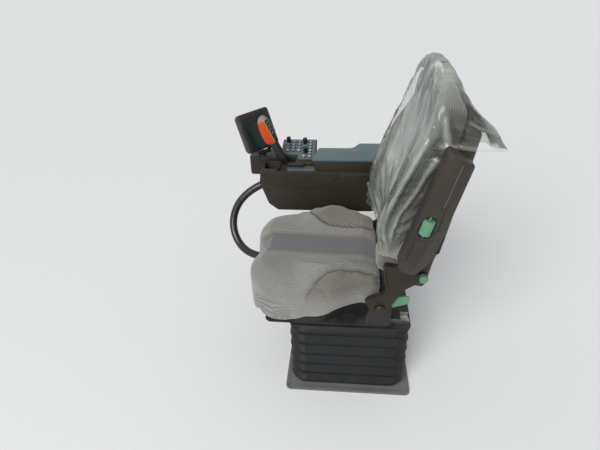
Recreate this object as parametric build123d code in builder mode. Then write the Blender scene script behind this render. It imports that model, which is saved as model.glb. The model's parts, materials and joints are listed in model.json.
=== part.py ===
from build123d import *
import os
from math import atan2, copysign, cos, pi, radians, sin, tan

os.makedirs("parts", exist_ok=True)

# Operator's seat of a combine harvester, with its right-hand control console.
# Millimetres. +Z is up, the operator looks along -Y, and +X is at the operator's left.
# The origin is the centre of the four floor bolts, on the floor.

# Small gaps between pieces
SEAT_GAP = 0.3        # between pieces that rest on each other with curved faces
RUNNING = 0.05        # radial clearance of a turning fit

# Base and suspension
BASE_WIDTH = 440.0
BASE_DEPTH = 480.0
BASE_THICK = 8.0
FLOOR_BOLT_INSET = 18.0
FLOOR_BOLT_R = 5.5
BELLOWS_INSET_X = 14.0
BELLOWS_INSET_Y = 12.0
BELLOWS_HEIGHT = 312.0
BELLOWS_FOLDS = 6
BELLOWS_FOLD_OUT = 15.0
BELLOWS_CORNER = 46.0
BELLOWS_WALL = 4.0
TOP_PLATE_WIDTH = 400.0
TOP_PLATE_DEPTH = 436.0
TOP_PLATE_THICK = 6.0

# Slide rails
RAIL_X = 150.0
RAIL_LENGTH = 420.0
RAIL_WIDTH = 40.0
RAIL_HEIGHT = 22.0
RAIL_WALL = 3.0
RAIL_LIP = 7.0
SLIDER_LENGTH = 360.0
SLIDER_CLEAR = 0.5
SLIDER_WEB = 16.0
SLIDER_TOP_WIDTH = 44.0
SLIDER_RISE = 5.5     # room between the fixed rail and the top flange of the moving one

# Seat frame, pan and cushion
FRAME_WIDTH = 430.0
FRAME_FRONT = -300.0
FRAME_REAR = 142.0
FRAME_THICK = 4.0
FRAME_HOLE_R = 38.0
PAN_HEIGHT = 44.0
PAN_WALL = 3.0
PAN_INSET = 52.0
PAN_RIB_PITCH = 70.0
CUSHION_HEIGHT = 147.0
CUSHION_TOP_ROUND = 40.0
CUSHION_BOTTOM_ROUND = 46.0
THIGH_BOLSTER_RISE = 52.0
THIGH_BOLSTER_FRONT = -234.0
THIGH_BOLSTER_REAR = 108.0
# Half outline of the cushion from above: x, y, corner radius
CUSHION_OUTLINE = (
    (0.0, -345.0, 110.0),
    (110.0, -372.0, 140.0),
    (214.0, -338.0, 105.0),
    (268.0, -214.0, 190.0),
    (262.0, -80.0, 140.0),
    (199.0, 24.0, 140.0),
    (196.0, 108.0, 38.0),
)

# Backrest
PIVOT_Y = 99.0
PIVOT_Z = 442.0
BACK_LEAN = 8.8
BACK_FRONT = -9.0     # front of the padding, ahead of the pivot
PADDING_DEPTH = 70.0
SHELL_DEPTH = 45.0
SHELL_WALL = 4.0
SHELL_MARGIN = 4.0
SIDE_BOLSTER_RISE = 85.0
BOLSTER_CREST_V = 335.0    # height up the back at which the side bolsters stand highest
BOLSTER_END_V = 622.0      # height at which they run out into the padding
REAR_SLOPE_TOP = -28.0     # ahead of the pivot, where the rear of the back meets its top
REAR_SLOPE_V = 640.0       # height at which the rear starts to slope towards the top
# Half outline of the padding from the front: x, height up the back, corner radius
BACK_LOW_HALF = 210.0
BACK_HIGH_HALF = 240.0
BACK_TOP = 768.0
BACK_OUTLINE = (
    (150.0, 100.0, 0.0),
    (BACK_LOW_HALF, 104.0, 26.0),
    (BACK_LOW_HALF, 215.0, 120.0),
    (BACK_HIGH_HALF, 300.0, 120.0),
    (BACK_HIGH_HALF, 600.0, 0.0),
    (238.0, 692.0, 75.0),
    (108.0, BACK_TOP, 300.0),
)

# Clear film over the back
FILM_THICK = 1.2
FILM_SIDE_HEM = 226.0
FILM_CREST_ROOM = 4.0      # ahead of the side bolsters' crest
FILM_FLAP_V = 612.0
FILM_FLAP_W = -206.0

# Lumbar knob: height up the back and distance ahead of the pivot
LUMBAR_V = 158.0
LUMBAR_W = -104.0
LUMBAR_R = 15.0
LUMBAR_BOSS = 8.0
LUMBAR_KNOB = 15.0

# Recliner
PIVOT_R = 8.0
PIVOT_HEAD_R = 17.0
PIVOT_HEAD = 9.0
FOOT_THICK = 6.0
FOOT_OUTER_X = 214.0
ARM_PLATE = 11.0
ARM_FLANGE = 5.0
ARM_FLANGE_OUT = 12.0
# Outline of the arm beside the back: height up the back, distance ahead, corner radius
ARM_OUTLINE = (
    (-27.0, -18.0, 20.0),
    (-25.0, 22.0, 14.0),
    (26.0, 58.0, 7.0),
    (42.0, 46.0, 8.0),
    (80.0, -6.0, 34.0),
    (142.0, 20.0, 40.0),
    (188.0, 30.0, 10.0),
    (188.0, -86.0, 8.0),
    (124.0, -86.0, 16.0),
    (94.0, -56.0, 24.0),
    (20.0, -31.0, 20.0),
)

# Left armrest, folded up beside the backrest
ARMREST_Y = 187.0
ARMREST_Z = 735.0
ARMREST_LEAN = 14.0
ARMREST_INNER_X = 262.0
ARMREST_WIDTH = 60.0
ARMREST_LENGTH = 312.0
ARMREST_TAIL = 72.0
ARMREST_FRONT = 41.0
ARMREST_REAR = -45.0
ARMREST_PIN_R = 10.0
ARMREST_KNOB_R = 17.0
ARMREST_KNOB_LENGTH = 46.0
ARMREST_KNOB_ALONG = 92.0
ARMREST_KNOB_ACROSS = 14.0

# Console
CONSOLE_INNER_X = -289.0
CONSOLE_WIDTH = 110.0
CONSOLE_TOP = 700.0
CONSOLE_WALL = 5.0
CONSOLE_REAR = 188.0
COVER_THICK = 3.0
BIN_FRONT = -358.0
BIN_REAR = -300.0
BIN_RIM = 7.0
BIN_RIM_HEIGHT = 10.0
BIN_FLOOR = 610.0
STORAGE_FRONT = -126.0
STORAGE_REAR = 172.0
STORAGE_FLOOR = 545.0
UNDER_FRONT = -293.0
UNDER_REAR = -138.0
BEAM_Y = -20.0
BEAM_WIDTH = 80.0
BEAM_THICK = 8.0
BEAM_X = -345.0
BEAM_ROOT = 178.0

# Lid of the console, which is also the right armrest
LID_HINGE_Y = 197.0
LID_HINGE_Z = 706.0
LID_HINGE_R = 4.0
LID_HINGE_LENGTH = 60.0
LID_HEIGHT = 47.0
LID_WALL = 4.0
LID_PAD_HEIGHT = 12.0
LID_FRONT = -135.0
LID_SLANT = 25.0
LID_WIDE = 52.0
LID_WIDE_Y = 26.0
LID_SKEW = 24.0        # how much further back the far end of its front is

# Control deck, its keypad and its switches
DECK_NEAR_X = -345.0
DECK_FAR_X = -518.0
DECK_FRONT = -300.0
DECK_NOTCH_Y = -234.0
DECK_NOTCH_X = -394.0
DECK_REAR = -152.0
DECK_NEAR_Z = 712.0
DECK_FAR_Z = 752.0
DECK_BOTTOM = 640.0
KEYPAD_THICK = 4.0
# Keypad outline on the deck: along the console, up the slope
KEYPAD_OUTLINE = ((-70.0, 78.0), (70.0, 78.0), (70.0, -64.0), (0.0, -64.0), (0.0, -32.0), (-70.0, -32.0))
KEYPAD_ROUND = 7.0
BUTTON_ROWS = 6
BUTTON_COLUMNS = 5
BUTTON_R = 7.0
BUTTON_RISE = 5.0
BUTTON_PITCH_X = 21.0
BUTTON_PITCH_Y = 24.0
KEYPAD_MIDDLE_UP = 5.0
# Turning knobs: along the console, up the slope
KNOB_PLACES = ((-48.0, 57.0), (24.0, 50.0), (30.0, -16.0))
KNOB_R = 9.0
KNOB_HEIGHT = 24.0
SWITCH_PLATE_THICK = 4.0
SMALL_LEVER_X = -332.0
SMALL_LEVER_FRONT = -263.0
SMALL_LEVER_LENGTH = 68.0
SMALL_LEVER_WIDTH = 14.0

# Hydraulic lever
LEVER_X = -366.0
LEVER_Y = -258.0
LEVER_Z = 676.0
LEVER_LEAN = 25.0
LEVER_SHAFT_R = 8.0
LEVER_NECK_START = 57.0
LEVER_HEAD_START = 135.0
# Sections of the neck and the head: distance up the lever, width, depth behind and ahead of the shaft's line
NECK_SECTIONS = (
    (LEVER_NECK_START, 30.0, 11.0, 25.0),
    (72.0, 27.0, 10.0, 25.0),
    (LEVER_HEAD_START, 27.0, 10.0, 28.0),
)
HEAD_SECTIONS = (
    (LEVER_HEAD_START, 26.0, 11.0, 29.0),
    (146.0, 34.0, 15.0, 37.0),
    (170.0, 38.0, 18.0, 39.0),
    (205.0, 39.0, 20.0, 36.0),
    (235.0, 36.0, 17.0, 28.0),
    (249.0, 27.0, 11.0, 19.0),
    (254.0, 16.0, 5.0, 12.0),
)
HEAD_SPLIT = -8.0      # where the thumb face meets the rear of the head
LEVER_HUB_R = 12.0
LEVER_SLOT_WIDTH = 19.0
LEVER_SLOT_FRONT = -290.0
LEVER_SLOT_REAR = -244.0
LEVER_PLATE_THICK = 2.5

# Display on its pod
DISPLAY_X = -420.0
DISPLAY_Y = -390.0
DISPLAY_Z = 829.0
DISPLAY_YAW = 52.0
DISPLAY_TILT = 24.0
DISPLAY_WIDTH = 163.0
DISPLAY_HEIGHT = 162.0
DISPLAY_DEPTH = 38.0
BEZEL_DEPTH = 5.0
BEZEL_EDGE = 6.0
SCREEN_WIDTH = 122.0
SCREEN_HEIGHT = 104.0
SCREEN_DROP = 14.0
TILT_DROP = 13.0
TILT_R = 5.0
TILT_BARREL_R = 9.0
TILT_BARREL = 56.0
POD_TOP = 716.0
POD_BOTTOM = 631.0
POD_FRONT = -438.0
POD_FAR_X = -486.0

# Harness between the console and the seat frame
HARNESS_R = 17.0
GLAND_WALL = 5.0
GLAND_DEPTH = 30.0
GLAND_GRIP = 6.0       # length of hose held inside the block at the frame
HARNESS_ROUTE = (
    (-421.0, -262.0, 600.0),
    (-421.0, -312.0, 600.0),
    (-418.0, -362.0, 589.0),
    (-411.0, -412.0, 570.0),
    (-402.0, -463.0, 537.0),
    (-390.0, -505.0, 494.0),
    (-370.0, -530.0, 438.0),
    (-341.0, -531.0, 386.0),
    (-307.0, -509.0, 341.0),
    (-270.0, -470.0, 318.0),
    (-240.0, -424.0, 314.0),
    (-220.0, -374.0, 318.0),
    (-208.0, -324.0, 327.0),
)


def half_ring(outline):
    """Closes a half outline (x, y, radius) about x = 0 and gives its points and radii."""
    right = [(x, y) for x, y, r in outline]
    radii = [r for x, y, r in outline]
    left = [(-x, y) for x, y, r in reversed(outline) if x > 0]
    left_radii = [r for x, y, r in reversed(outline) if x > 0]
    return right + left, radii + left_radii


def grown(points, radii, amount):
    """Moves each side of a closed outline outwards by amount and gives its new points and corner radii."""
    after = points[1:] + points[:1]
    before = points[-1:] + points[:-1]
    area = sum(ax * by - bx * ay for (ax, ay), (bx, by) in zip(points, after))
    way = copysign(1, area)
    new_points = []
    new_radii = []
    for (ax, ay), (bx, by), (cx, cy), radius in zip(before, points, after, radii):
        side_in = Vector(bx - ax, by - ay).normalized()
        side_out = Vector(cx - bx, cy - by).normalized()
        out_in = Vector(side_in.Y, -side_in.X) * way
        out_out = Vector(side_out.Y, -side_out.X) * way
        step = (out_in + out_out) * (amount / (1 + out_in.dot(out_out)))
        outer_corner = (side_in.X * side_out.Y - side_in.Y * side_out.X) * way > 0
        new_points.append((bx + step.X, by + step.Y))
        new_radii.append((radius + (amount if outer_corner else -amount)) if radius else 0.0)
    return new_points, new_radii


lean = radians(BACK_LEAN)
BACK_UP = (0, sin(lean), cos(lean))
BACK_NORMAL = (0, -cos(lean), sin(lean))
back_plane = Plane(origin=(0, PIVOT_Y, PIVOT_Z), x_dir=(1, 0, 0), z_dir=BACK_NORMAL)
back_side = Plane(origin=(0, PIVOT_Y, PIVOT_Z), x_dir=BACK_UP, z_dir=(1, 0, 0))

# Base plate on the cab floor
with BuildPart() as base_plate:
    with BuildSketch():
        RectangleRounded(BASE_WIDTH, BASE_DEPTH, 20)
        with GridLocations(BASE_WIDTH - 2 * FLOOR_BOLT_INSET, BASE_DEPTH - 2 * FLOOR_BOLT_INSET, 2, 2):
            Circle(FLOOR_BOLT_R, mode=Mode.SUBTRACT)
    extrude(amount=BASE_THICK)
base_plate.part.label = "base_plate"
export_step(base_plate.part, "parts/base_plate.step")

# Rubber bellows round the suspension: folds that widen and narrow in turn
bellows_width = TOP_PLATE_WIDTH - 2 * BELLOWS_INSET_X
bellows_depth = TOP_PLATE_DEPTH - 2 * BELLOWS_INSET_Y
bellows_bottom = BASE_THICK
bellows_top = bellows_bottom + BELLOWS_HEIGHT
fold = BELLOWS_HEIGHT / BELLOWS_FOLDS
with BuildPart() as bellows:
    for wall, mode in ((0.0, Mode.ADD), (BELLOWS_WALL, Mode.SUBTRACT)):
        for k in range(BELLOWS_FOLDS):
            low = bellows_bottom + k * fold
            for start, first, last in ((low, 0.0, BELLOWS_FOLD_OUT), (low + fold / 2, BELLOWS_FOLD_OUT, 0.0)):
                for height, out in ((start, first), (start + fold / 2, last)):
                    with BuildSketch(Plane.XY.offset(height)):
                        RectangleRounded(
                            bellows_width + 2 * (out - wall),
                            bellows_depth + 2 * (out - wall),
                            BELLOWS_CORNER + out - wall,
                        )
                loft(ruled=True, mode=mode)
bellows.part.label = "bellows"
export_step(bellows.part, "parts/bellows.step")

# Plate on top of the suspension
with BuildPart() as suspension_plate:
    with BuildSketch(Plane.XY.offset(bellows_top)):
        RectangleRounded(TOP_PLATE_WIDTH, TOP_PLATE_DEPTH, 30)
    extrude(amount=TOP_PLATE_THICK)
    fillet(suspension_plate.edges().group_by(Axis.Z)[0], 2)
suspension_plate.part.label = "suspension_plate"
export_step(suspension_plate.part, "parts/suspension_plate.step")

# Fixed rails: lipped channels, and the I-shaped sliders that run in them
rail_bottom = bellows_top + TOP_PLATE_THICK
rail_top = rail_bottom + RAIL_HEIGHT
slider_top = rail_top + SLIDER_RISE
for side, x in (("left", RAIL_X), ("right", -RAIL_X)):
    with BuildPart() as fixed_rail:
        with BuildSketch(Plane.XZ.offset(RAIL_LENGTH / 2)):
            with Locations((x, rail_bottom + RAIL_HEIGHT / 2)):
                Rectangle(RAIL_WIDTH, RAIL_HEIGHT)
                Rectangle(RAIL_WIDTH - 2 * RAIL_WALL, RAIL_HEIGHT - 2 * RAIL_WALL, mode=Mode.SUBTRACT)
            with Locations((x, rail_top - RAIL_WALL / 2)):
                Rectangle(RAIL_WIDTH - 2 * RAIL_WALL - 2 * RAIL_LIP, RAIL_WALL, mode=Mode.SUBTRACT)
        extrude(amount=-RAIL_LENGTH)
    fixed_rail.part.label = f"fixed_rail_{side}"
    export_step(fixed_rail.part, f"parts/fixed_rail_{side}.step")

    shoe_bottom = rail_bottom + RAIL_WALL + SLIDER_CLEAR
    shoe_top = rail_top - RAIL_WALL - SLIDER_CLEAR
    with BuildPart() as moving_rail:
        with BuildSketch(Plane.XZ.offset(SLIDER_LENGTH / 2)):
            with Locations((x, (shoe_bottom + shoe_top) / 2)):
                Rectangle(RAIL_WIDTH - 2 * RAIL_WALL - 2 * SLIDER_CLEAR, shoe_top - shoe_bottom)
            with Locations((x, (shoe_top + slider_top) / 2)):
                Rectangle(SLIDER_WEB, slider_top - shoe_top)
            with Locations((x, slider_top - RAIL_WALL / 2)):
                Rectangle(SLIDER_TOP_WIDTH, RAIL_WALL)
        extrude(amount=-SLIDER_LENGTH)
    moving_rail.part.label = f"moving_rail_{side}"
    export_step(moving_rail.part, f"parts/moving_rail_{side}.step")

# Flat steel seat frame on the sliders
frame_bottom = slider_top
frame_top = frame_bottom + FRAME_THICK
frame_middle = (FRAME_FRONT + FRAME_REAR) / 2
frame_depth = FRAME_REAR - FRAME_FRONT
with BuildPart() as seat_frame:
    with BuildSketch(Plane.XY.offset(frame_bottom)):
        with Locations((0, frame_middle)):
            RectangleRounded(FRAME_WIDTH, frame_depth, 25)
            with GridLocations(130, 130, 2, 2):
                Circle(FRAME_HOLE_R, mode=Mode.SUBTRACT)
    extrude(amount=FRAME_THICK)
seat_frame.part.label = "seat_frame"
export_step(seat_frame.part, "parts/seat_frame.step")

# Pan under the cushion, with lengthwise ribs that carry it
cushion_points, cushion_radii = half_ring(CUSHION_OUTLINE)
pan_top = frame_top + PAN_HEIGHT
with BuildPart() as seat_pan:
    with BuildSketch(Plane.XY.offset(frame_top)) as pan_outline:
        with BuildLine():
            FilletPolyline(*cushion_points, radius=cushion_radii, close=True)
        make_face()
        offset(amount=-PAN_INSET, kind=Kind.ARC)
    extrude(amount=PAN_HEIGHT)
    with BuildSketch(Plane.XY.offset(frame_top + PAN_WALL)):
        add(pan_outline.sketch)
        offset(amount=-PAN_WALL, kind=Kind.ARC)
    extrude(amount=PAN_HEIGHT, mode=Mode.SUBTRACT)
    with BuildSketch(Plane.XY.offset(frame_top)):
        with Locations((0, frame_middle)):
            with GridLocations(PAN_RIB_PITCH, 0, 5, 1):
                Rectangle(PAN_WALL, frame_depth - 40)
    extrude(amount=PAN_HEIGHT)
seat_pan.part.label = "seat_pan"
export_step(seat_pan.part, "parts/seat_pan.step")

# Seat cushion: a waisted outline with two thigh lobes and a raised bolster at each side
cushion_bottom = pan_top + SEAT_GAP
cushion_top = cushion_bottom + CUSHION_HEIGHT


def thigh_bolster(side):
    """The raised roll along one side (1 or -1) of the cushion."""
    crest = cushion_top + THIGH_BOLSTER_RISE
    with BuildPart() as roll:
        with BuildSketch(Plane.XZ.offset(-THIGH_BOLSTER_FRONT)):
            with BuildLine():
                FilletPolyline(
                    (side * 96, cushion_top - 40),
                    (side * 104, cushion_top - 8),
                    (side * 176, crest - 10),
                    (side * 216, crest),
                    (side * 252, cushion_top + 12),
                    (side * 258, cushion_top - 60),
                    radius=(0, 60, 44, 34, 36, 0),
                    close=True,
                )
            make_face()
        extrude(amount=THIGH_BOLSTER_FRONT - THIGH_BOLSTER_REAR)
        with BuildSketch(Plane.XY.offset(cushion_bottom)):
            with BuildLine():
                FilletPolyline(*cushion_points, radius=cushion_radii, close=True)
            make_face()
            offset(amount=-8, kind=Kind.ARC)
        extrude(amount=CUSHION_HEIGHT + 2 * THIGH_BOLSTER_RISE, mode=Mode.INTERSECT)
        with BuildSketch(Plane.YZ.offset(-300)):
            with BuildLine():
                FilletPolyline(
                    (THIGH_BOLSTER_FRONT + 4, cushion_top - 60),
                    (THIGH_BOLSTER_FRONT + 8, cushion_top - 14),
                    (THIGH_BOLSTER_FRONT + 168, crest + 2),
                    (THIGH_BOLSTER_REAR - 100, crest + 2),
                    (THIGH_BOLSTER_REAR - 4, cushion_top + 10),
                    (THIGH_BOLSTER_REAR - 4, cushion_top - 60),
                    radius=(0, 8, 190, 120, 12, 0),
                    close=True,
                )
            make_face()
        extrude(amount=600, mode=Mode.INTERSECT)
    return roll.part


thigh_bolsters = [thigh_bolster(side) for side in (1, -1)]
with BuildPart() as seat_cushion:
    with BuildSketch(Plane.XY.offset(cushion_bottom)):
        with BuildLine():
            FilletPolyline(*cushion_points, radius=cushion_radii, close=True)
        make_face()
    extrude(amount=CUSHION_HEIGHT)
    fillet(seat_cushion.edges().group_by(Axis.Z)[-1], CUSHION_TOP_ROUND)
    fillet(seat_cushion.edges().group_by(Axis.Z)[0], CUSHION_BOTTOM_ROUND)
    add(thigh_bolsters)
seat_cushion.part.label = "seat_cushion"
export_step(seat_cushion.part, "parts/seat_cushion.step")

# Recliner feet on the frame, the pivot bolts through them, and the arms that carry the back
foot_inner = FOOT_OUTER_X - FOOT_THICK
arm_inner = FOOT_OUTER_X + SEAT_GAP
arm_outer = arm_inner + ARM_PLATE
arm_points = [(v, w) for v, w, r in ARM_OUTLINE]
arm_radii = [r for v, w, r in ARM_OUTLINE]
for side, sign in (("left", 1), ("right", -1)):
    with BuildPart() as recliner_foot:
        with BuildSketch(Plane.YZ.offset(foot_inner if sign > 0 else -FOOT_OUTER_X)):
            with BuildLine():
                FilletPolyline(
                    (PIVOT_Y - 52, frame_top),
                    (PIVOT_Y - 40, PIVOT_Z - 28),
                    (PIVOT_Y - 20, PIVOT_Z + 27),
                    (PIVOT_Y + 16, PIVOT_Z + 27),
                    (PIVOT_Y + 40, PIVOT_Z + 8),
                    (FRAME_REAR - 2, frame_top),
                    radius=(0, 18, 16, 16, 12, 0),
                    close=True,
                )
            make_face()
            with Locations((PIVOT_Y, PIVOT_Z)):
                Circle(PIVOT_R + RUNNING, mode=Mode.SUBTRACT)
        extrude(amount=FOOT_THICK)
    recliner_foot.part.label = f"recliner_foot_{side}"
    export_step(recliner_foot.part, f"parts/recliner_foot_{side}.step")

    with BuildPart() as pivot_bolt:
        with BuildSketch(Plane.XZ.offset(-PIVOT_Y)):
            with BuildLine():
                Polyline(
                    (sign * (foot_inner - 9), PIVOT_Z),
                    (sign * (foot_inner - 9), PIVOT_Z + PIVOT_R + 5),
                    (sign * (foot_inner - SEAT_GAP), PIVOT_Z + PIVOT_R + 5),
                    (sign * (foot_inner - SEAT_GAP), PIVOT_Z + PIVOT_R),
                    (sign * (arm_outer + SEAT_GAP), PIVOT_Z + PIVOT_R),
                    (sign * (arm_outer + SEAT_GAP), PIVOT_Z + PIVOT_HEAD_R),
                    (sign * (arm_outer + PIVOT_HEAD - 3), PIVOT_Z + PIVOT_HEAD_R),
                    (sign * (arm_outer + PIVOT_HEAD), PIVOT_Z + PIVOT_HEAD_R - 3),
                    (sign * (arm_outer + PIVOT_HEAD), PIVOT_Z),
                    close=True,
                )
            make_face()
        revolve(axis=Axis((0, PIVOT_Y, PIVOT_Z), (1, 0, 0)))
    pivot_bolt.part.label = f"pivot_bolt_{side}"
    export_step(pivot_bolt.part, f"parts/pivot_bolt_{side}.step")

    with BuildPart() as back_arm:
        with BuildSketch(back_side.offset(arm_inner if sign > 0 else -arm_outer)):
            with BuildLine():
                FilletPolyline(*arm_points, radius=arm_radii, close=True)
            make_face()
            Circle(PIVOT_R + RUNNING, mode=Mode.SUBTRACT)
        extrude(amount=ARM_PLATE)
        # raised flange along the front edge
        with BuildSketch(back_side.offset(arm_outer if sign > 0 else -arm_outer - ARM_FLANGE_OUT)):
            with BuildLine():
                FilletPolyline(*arm_points, radius=arm_radii, close=True)
            make_face()
            offset(amount=-ARM_FLANGE, kind=Kind.ARC, mode=Mode.SUBTRACT)
            with BuildLine():
                Polyline((20, 70), (20, 36), (70, -22), (200, -6), (200, 70), close=True)
            make_face(mode=Mode.INTERSECT)
        extrude(amount=ARM_FLANGE_OUT)
    back_arm.part.label = f"back_arm_{side}"
    export_step(back_arm.part, f"parts/back_arm_{side}.step")

# Flat release lever behind the left foot
with BuildPart() as recline_lever:
    with BuildSketch(Plane.YZ.offset(foot_inner - SEAT_GAP - 8)):
        with BuildLine():
            FilletPolyline(
                (PIVOT_Y + 20, PIVOT_Z + 2),
                (PIVOT_Y + 38, PIVOT_Z + 38),
                (PIVOT_Y + 98, PIVOT_Z + 44),
                (PIVOT_Y + 93, PIVOT_Z + 12),
                (PIVOT_Y + 38, PIVOT_Z - 8),
                radius=(6, 9, 9, 9, 9),
                close=True,
            )
        make_face()
    extrude(amount=8)
recline_lever.part.label = "recline_lever"
export_step(recline_lever.part, "parts/recline_lever.step")

# Backrest: padding in a moulded rear shell
back_points, back_radii = half_ring(BACK_OUTLINE)
shell_points, shell_radii = grown(back_points, back_radii, SHELL_MARGIN)
hollow_points, hollow_radii = grown(back_points, back_radii, SHELL_MARGIN - 3 * SHELL_WALL)
padding_rear = BACK_FRONT - PADDING_DEPTH
shell_front = padding_rear - SEAT_GAP
shell_rear = shell_front - SHELL_DEPTH


def sloped_side(rear, front, inset):
    """The side view of what lies between two distances ahead of the pivot, under the sloping rear top."""
    slope = (shell_rear - REAR_SLOPE_TOP) / (BACK_TOP - REAR_SLOPE_V)
    corner_v = REAR_SLOPE_V - inset
    slope_front = corner_v + (shell_rear - front) / slope
    slope_rear = corner_v + (shell_rear - rear) / slope
    with BuildPart() as side:
        with BuildSketch(back_side.offset(-300)):
            with BuildLine():
                Polyline((0, front), (slope_front, front), (slope_rear, rear), (0, rear), close=True)
            make_face()
        extrude(amount=600)
    return side.part


with BuildPart() as shell_outside:
    with BuildSketch(back_plane.offset(shell_rear)):
        with BuildLine():
            FilletPolyline(*shell_points, radius=shell_radii, close=True)
        make_face()
    extrude(amount=SHELL_DEPTH)
    fillet(shell_outside.faces().sort_by(Axis(origin=(0, 0, 0), direction=BACK_NORMAL))[0].edges(), 16)
    add(sloped_side(shell_rear - 1, shell_front, 0), mode=Mode.INTERSECT)
with BuildPart() as shell_hollow:
    with BuildSketch(back_plane.offset(shell_rear + SHELL_WALL)):
        with BuildLine():
            FilletPolyline(*hollow_points, radius=hollow_radii, close=True)
        make_face()
    extrude(amount=SHELL_DEPTH)
    add(sloped_side(shell_rear, shell_front + 1, 2 * SHELL_WALL), mode=Mode.INTERSECT)
with BuildPart() as back_shell:
    add(shell_outside.part)
    add(shell_hollow.part, mode=Mode.SUBTRACT)
back_shell.part.label = "back_shell"
export_step(back_shell.part, "parts/back_shell.step")

bolster_top = BACK_FRONT + SIDE_BOLSTER_RISE


def side_bolster(side):
    """The raised roll along one side (1 or -1) of the back."""
    with BuildPart() as roll:
        with BuildSketch(Plane(origin=(0, PIVOT_Y, PIVOT_Z), x_dir=(1, 0, 0), z_dir=BACK_UP)):
            with BuildLine():
                FilletPolyline(
                    (side * 120, -BACK_FRONT + 30),
                    (side * 124, -BACK_FRONT + 4),
                    (side * 168, -bolster_top + 8),
                    (side * 200, -bolster_top),
                    (side * 234, -bolster_top + 34),
                    (side * 238, -BACK_FRONT + 30),
                    radius=(0, 30, 26, 26, 30, 0),
                    close=True,
                )
            make_face()
        extrude(amount=700)
        with BuildSketch(back_plane.offset(padding_rear)):
            with BuildLine():
                FilletPolyline(*back_points, radius=back_radii, close=True)
            make_face()
            offset(amount=-4, kind=Kind.ARC)
        extrude(amount=3 * PADDING_DEPTH, mode=Mode.INTERSECT)
        with BuildSketch(back_side.offset(-300)):
            with BuildLine():
                FilletPolyline(
                    (112, BACK_FRONT - 30),
                    (112, BACK_FRONT),
                    (150, bolster_top - 28),
                    (BOLSTER_CREST_V, bolster_top + 2),
                    (BOLSTER_END_V, BACK_FRONT - 4),
                    (BOLSTER_END_V + 12, BACK_FRONT - 30),
                    radius=(0, 16, 40, 150, 40, 0),
                    close=True,
                )
            make_face()
        extrude(amount=600, mode=Mode.INTERSECT)
    return roll.part


side_bolsters = [side_bolster(side) for side in (1, -1)]
with BuildPart() as back_cushion:
    with BuildSketch(back_plane.offset(padding_rear)):
        with BuildLine():
            FilletPolyline(*back_points, radius=back_radii, close=True)
        make_face()
    extrude(amount=PADDING_DEPTH)
    fillet(back_cushion.faces().sort_by(Axis(origin=(0, 0, 0), direction=BACK_NORMAL))[-1].edges(), 17)
    add(sloped_side(padding_rear, bolster_top, 0), mode=Mode.INTERSECT)
    add(side_bolsters)
back_cushion.part.label = "back_cushion"
export_step(back_cushion.part, "parts/back_cushion.step")

# Clear film drawn over the back: an open bag, cut away round the armrest, with a loose rear flap
film_front = bolster_top + FILM_CREST_ROOM
film_rear = shell_rear - SEAT_GAP - FILM_THICK
film_grow = SHELL_MARGIN + SEAT_GAP + FILM_THICK
film_side = BACK_HIGH_HALF + film_grow
# Side view of the bag: height up the back, distance ahead, corner radius
film_profile = (
    (120.0, film_front - 16.0, 0.0),
    (BOLSTER_CREST_V - 5.0, film_front, 160.0),
    (BOLSTER_END_V + 8.0, BACK_FRONT + 11.0, 200.0),
    (BACK_TOP + film_grow, BACK_FRONT + 5.0, 12.0),
    (BACK_TOP + film_grow, REAR_SLOPE_TOP - 6.0, 12.0),
    (REAR_SLOPE_V + 9.0, film_rear, 30.0),
    (500.0, film_rear, 0.0),
)


def film_bag(inset):
    """The space inside the film's outer surface, drawn in by inset."""
    side_points, side_radii = grown(
        [(v, w) for v, w, r in film_profile],
        [r for v, w, r in film_profile],
        -inset,
    )
    front_points, front_radii = grown(back_points, back_radii, film_grow - inset)
    with BuildPart() as bag:
        with BuildSketch(back_side.offset(-300)):
            with BuildLine():
                FilletPolyline(*side_points, radius=side_radii, close=True)
            make_face()
        extrude(amount=600)
        with BuildSketch(back_plane.offset(-300)):
            with BuildLine():
                FilletPolyline(*front_points, radius=front_radii, close=True)
            make_face()
        extrude(amount=600, mode=Mode.INTERSECT)
    return bag.part


film_outside = film_bag(0)
film_inside = film_bag(FILM_THICK)
with BuildPart() as back_film:
    add(film_outside)
    add(film_inside, mode=Mode.SUBTRACT)
    # flap behind the left side
    with BuildSketch(back_side.offset(film_side - FILM_THICK)):
        with BuildLine():
            Polyline(
                (REAR_SLOPE_V + 22, film_rear + 24),
                (FILM_FLAP_V, FILM_FLAP_W),
                (590, film_rear + 12),
                close=True,
            )
        make_face()
    extrude(amount=FILM_THICK)
    # open mouth, from the front hem to the higher rear hem
    with BuildSketch(back_side.offset(-300)):
        with BuildLine():
            Polyline(
                (60, 90),
                (168, 90),
                (226, 30),
                (590, film_rear + 30),
                (590, -260),
                (60, -260),
                close=True,
            )
        make_face()
    extrude(amount=600, mode=Mode.SUBTRACT)
    # the left side ends along the armrest
    with BuildSketch(back_side.offset(228)):
        with BuildLine():
            Polyline((100, 2), (217, 2), (435, -32), (592, -46), (592, -128), (100, -260), close=True)
        make_face()
    extrude(amount=60, mode=Mode.SUBTRACT)
    # room for the arms
    for x in (206, -246):
        with BuildSketch(back_side.offset(x)):
            with BuildLine():
                Polyline((60, 100), (FILM_SIDE_HEM, 100), (FILM_SIDE_HEM, -200), (60, -200), close=True)
            make_face()
        extrude(amount=40, mode=Mode.SUBTRACT)
back_film.part.label = "back_film"
export_step(back_film.part, "parts/back_film.step")

# Lumbar knob low on the left side of the shell
shell_side = BACK_LOW_HALF + SHELL_MARGIN
with BuildPart() as lumbar_boss:
    with BuildSketch(back_side.offset(shell_side + SEAT_GAP)):
        with Locations((LUMBAR_V, LUMBAR_W)):
            Circle(LUMBAR_R)
    extrude(amount=LUMBAR_BOSS)
lumbar_boss.part.label = "lumbar_boss"
export_step(lumbar_boss.part, "parts/lumbar_boss.step")

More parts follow.
